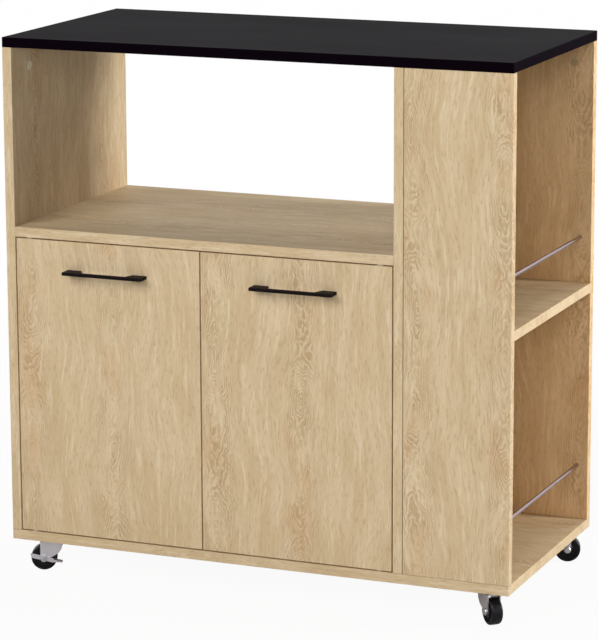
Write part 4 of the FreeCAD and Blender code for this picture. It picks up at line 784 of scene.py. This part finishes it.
for caster, trail in WHEEL_TRAILS.items():
    low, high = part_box(f"{caster}_wheel")
    values = {
        "Ribs": RIBS,
        "Rib Size": [side * MM for side in RIB_SIZE],
        "Rib Radius": RIB_RADIUS * MM,
        "Rib Level": (RING_FLOOR + RIB_SIZE[2] / 2 - RIB_SINK) * MM,
        "Turn": (math.pi / 2, 0, math.radians(trail)),
        "Centre": tuple((low + high) / 2),
        "Material": wheel_black.material,
    }
    wheel = RIB_RECIPE.run(f"{caster}_ribbed_wheel", turned_wheel(f"{caster}_turned"), values)
    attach(wheel, f"{caster}_roller")
    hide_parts(f"{caster}_wheel")
    lowest = min(vertex.co.z for vertex in wheel.data.vertices)
    print(wheel.name, len(wheel.data.polygons), "faces, lowest point", round(lowest / MM, 2), "mm")

# %% [markdown]
# ## The world and the floor
#
# The cart stands in a bright room. A world of strong even light would do, but it flattens every form, so the
# world adds very little light here. It is white only behind the cart and in reflections, as the backdrop of
# a studio is. The floor is one pale face. The camera sees it nearly plain white, with a hint of the shadow
# that falls on it, and straight through it from below, so that the casters can be seen from there too.

# %% The world
WORLD_LIGHT = 0.03
BACKDROP_WHITE = (1, 0.995, 1, 1)
scene.view_settings.view_transform = "Standard"


def make_world(level):
    """White for the camera and in reflections, and soft light of the given level for everything else."""
    world = bpy.data.worlds.new("studio")
    world.use_nodes = True
    scene.world = world
    tree = world.node_tree
    background = next(n for n in tree.nodes if n.type == "BACKGROUND")
    background.inputs["Color"].default_value = BACKDROP_WHITE
    rays = tree.nodes.new("ShaderNodeLightPath")
    seen = rays.outputs["Is Camera Ray"]
    for other in ("Is Glossy Ray", "Is Transmission Ray"):
        either = tree.nodes.new("ShaderNodeMath")
        either.operation = "MAXIMUM"
        tree.links.new(seen, either.inputs[0])
        tree.links.new(rays.outputs[other], either.inputs[1])
        seen = either.outputs[0]
    strength = tree.nodes.new("ShaderNodeMapRange")
    strength.inputs["To Min"].default_value = level
    strength.inputs["To Max"].default_value = 1.0
    tree.links.new(seen, strength.inputs["Value"])
    tree.links.new(strength.outputs["Result"], background.inputs["Strength"])


make_world(WORLD_LIGHT)
print("world light:", WORLD_LIGHT)

# %% The floor
FLOOR_HALF = 6.0
FLOOR_GREY = (0.70, 0.70, 0.70)
# How much of what the camera sees of the floor is plain white, near the cart and far from it.
WHITE_NEAR, WHITE_FAR = 0.94, 1.0
NEAR_CART, FAR_FROM_CART = 0.7, 3.0


def make_floor():
    """A pale floor. The camera sees it nearly plain white, and straight through it from below."""
    half = FLOOR_HALF
    corners = [(-half, -half, 0), (half, -half, 0), (half, half, 0), (-half, half, 0)]
    mesh = bpy.data.meshes.new("floor")
    mesh.from_pydata(corners, [], [(0, 1, 2, 3)])
    floor = bpy.data.objects.new("floor", mesh)
    scene.collection.objects.link(floor)
    finish = Finish("floor_white", Base_Color=FLOOR_GREY, Roughness=0.9)
    rays = finish.add("ShaderNodeLightPath", "Is Camera Ray")
    x, y, z = finish.position()
    reach = (x * x + y * y).math("SQRT")
    white = WHITE_NEAR + reach.ramp(NEAR_CART, FAR_FROM_CART) * (WHITE_FAR - WHITE_NEAR)
    lit = Wire(finish, finish.shader.outputs[0])
    glow = finish.add("ShaderNodeEmission", 0, None, {"Strength": 1.0})
    seen = finish.add("ShaderNodeMixShader", 0, None, {0: rays * white, 1: lit, 2: glow})
    clear = finish.add("ShaderNodeBsdfTransparent", 0)
    from_below = finish.add("ShaderNodeNewGeometry", "Backfacing") * rays
    seen = finish.add("ShaderNodeMixShader", 0, None, {0: from_below, 1: seen, 2: clear})
    output = next(n for n in finish.tree.nodes if n.type == "OUTPUT_MATERIAL")
    finish.tree.links.new(seen.socket, output.inputs["Surface"])
    mesh.materials.append(finish.material)


make_floor()
print("floor:", 2 * FLOOR_HALF, "m square")

# %% [markdown]
# ## The lamps
#
# A large soft key lamp at the front left lights the doors, and a narrow one at the right end lights the
# boards' edges. Weaker ones at the front right, at the left end and behind fill the shelf column and the
# other sides. The column's inside gets its warm brown from light that bounces between oak boards, and its
# rear panel's film is also painted warmer as painted bounce light. A strong lamp aimed into it would drown
# that, so the lamps stay weak and the oak stays pale.

# %% Hang the lamps
# Each lamp: where it is, what it faces, its width and height in metres, and its watts.
LAMPS = {
    "key": ((-1.25, -3.75, 3.0), (0, -0.2, 0.4), 2.4, 2.4, 107),
    "right": ((2.9, 0.60, 1.1), (0.2, 0.1, 0.55), 0.5, 1.4, 62),
    "fill": ((1.5, -3.7, 1.8), (0.2, 0, 0.5), 1.2, 1.2, 35),
    "left": ((-3.0, 0.4, 1.5), (-0.2, 0.1, 0.5), 0.8, 1.4, 42),
    "back": ((0.9, 3.0, 3.2), (0, 0.2, 0.5), 1.2, 1.2, 38),
}


def add_lamp(name, place, target, width, height, watts):
    """A rectangular soft lamp that faces its target."""
    data = bpy.data.lights.new(name, "AREA")
    data.shape = "RECTANGLE"
    data.size = width
    data.size_y = height
    data.energy = watts
    lamp = bpy.data.objects.new(name, data)
    lamp.location = place
    lamp.rotation_mode = "QUATERNION"
    lamp.rotation_quaternion = (Vector(target) - Vector(place)).to_track_quat("-Z", "Y")
    scene.collection.objects.link(lamp)


for name, lamp in LAMPS.items():
    add_lamp(name, *lamp)
print("lamps:", ", ".join(LAMPS))
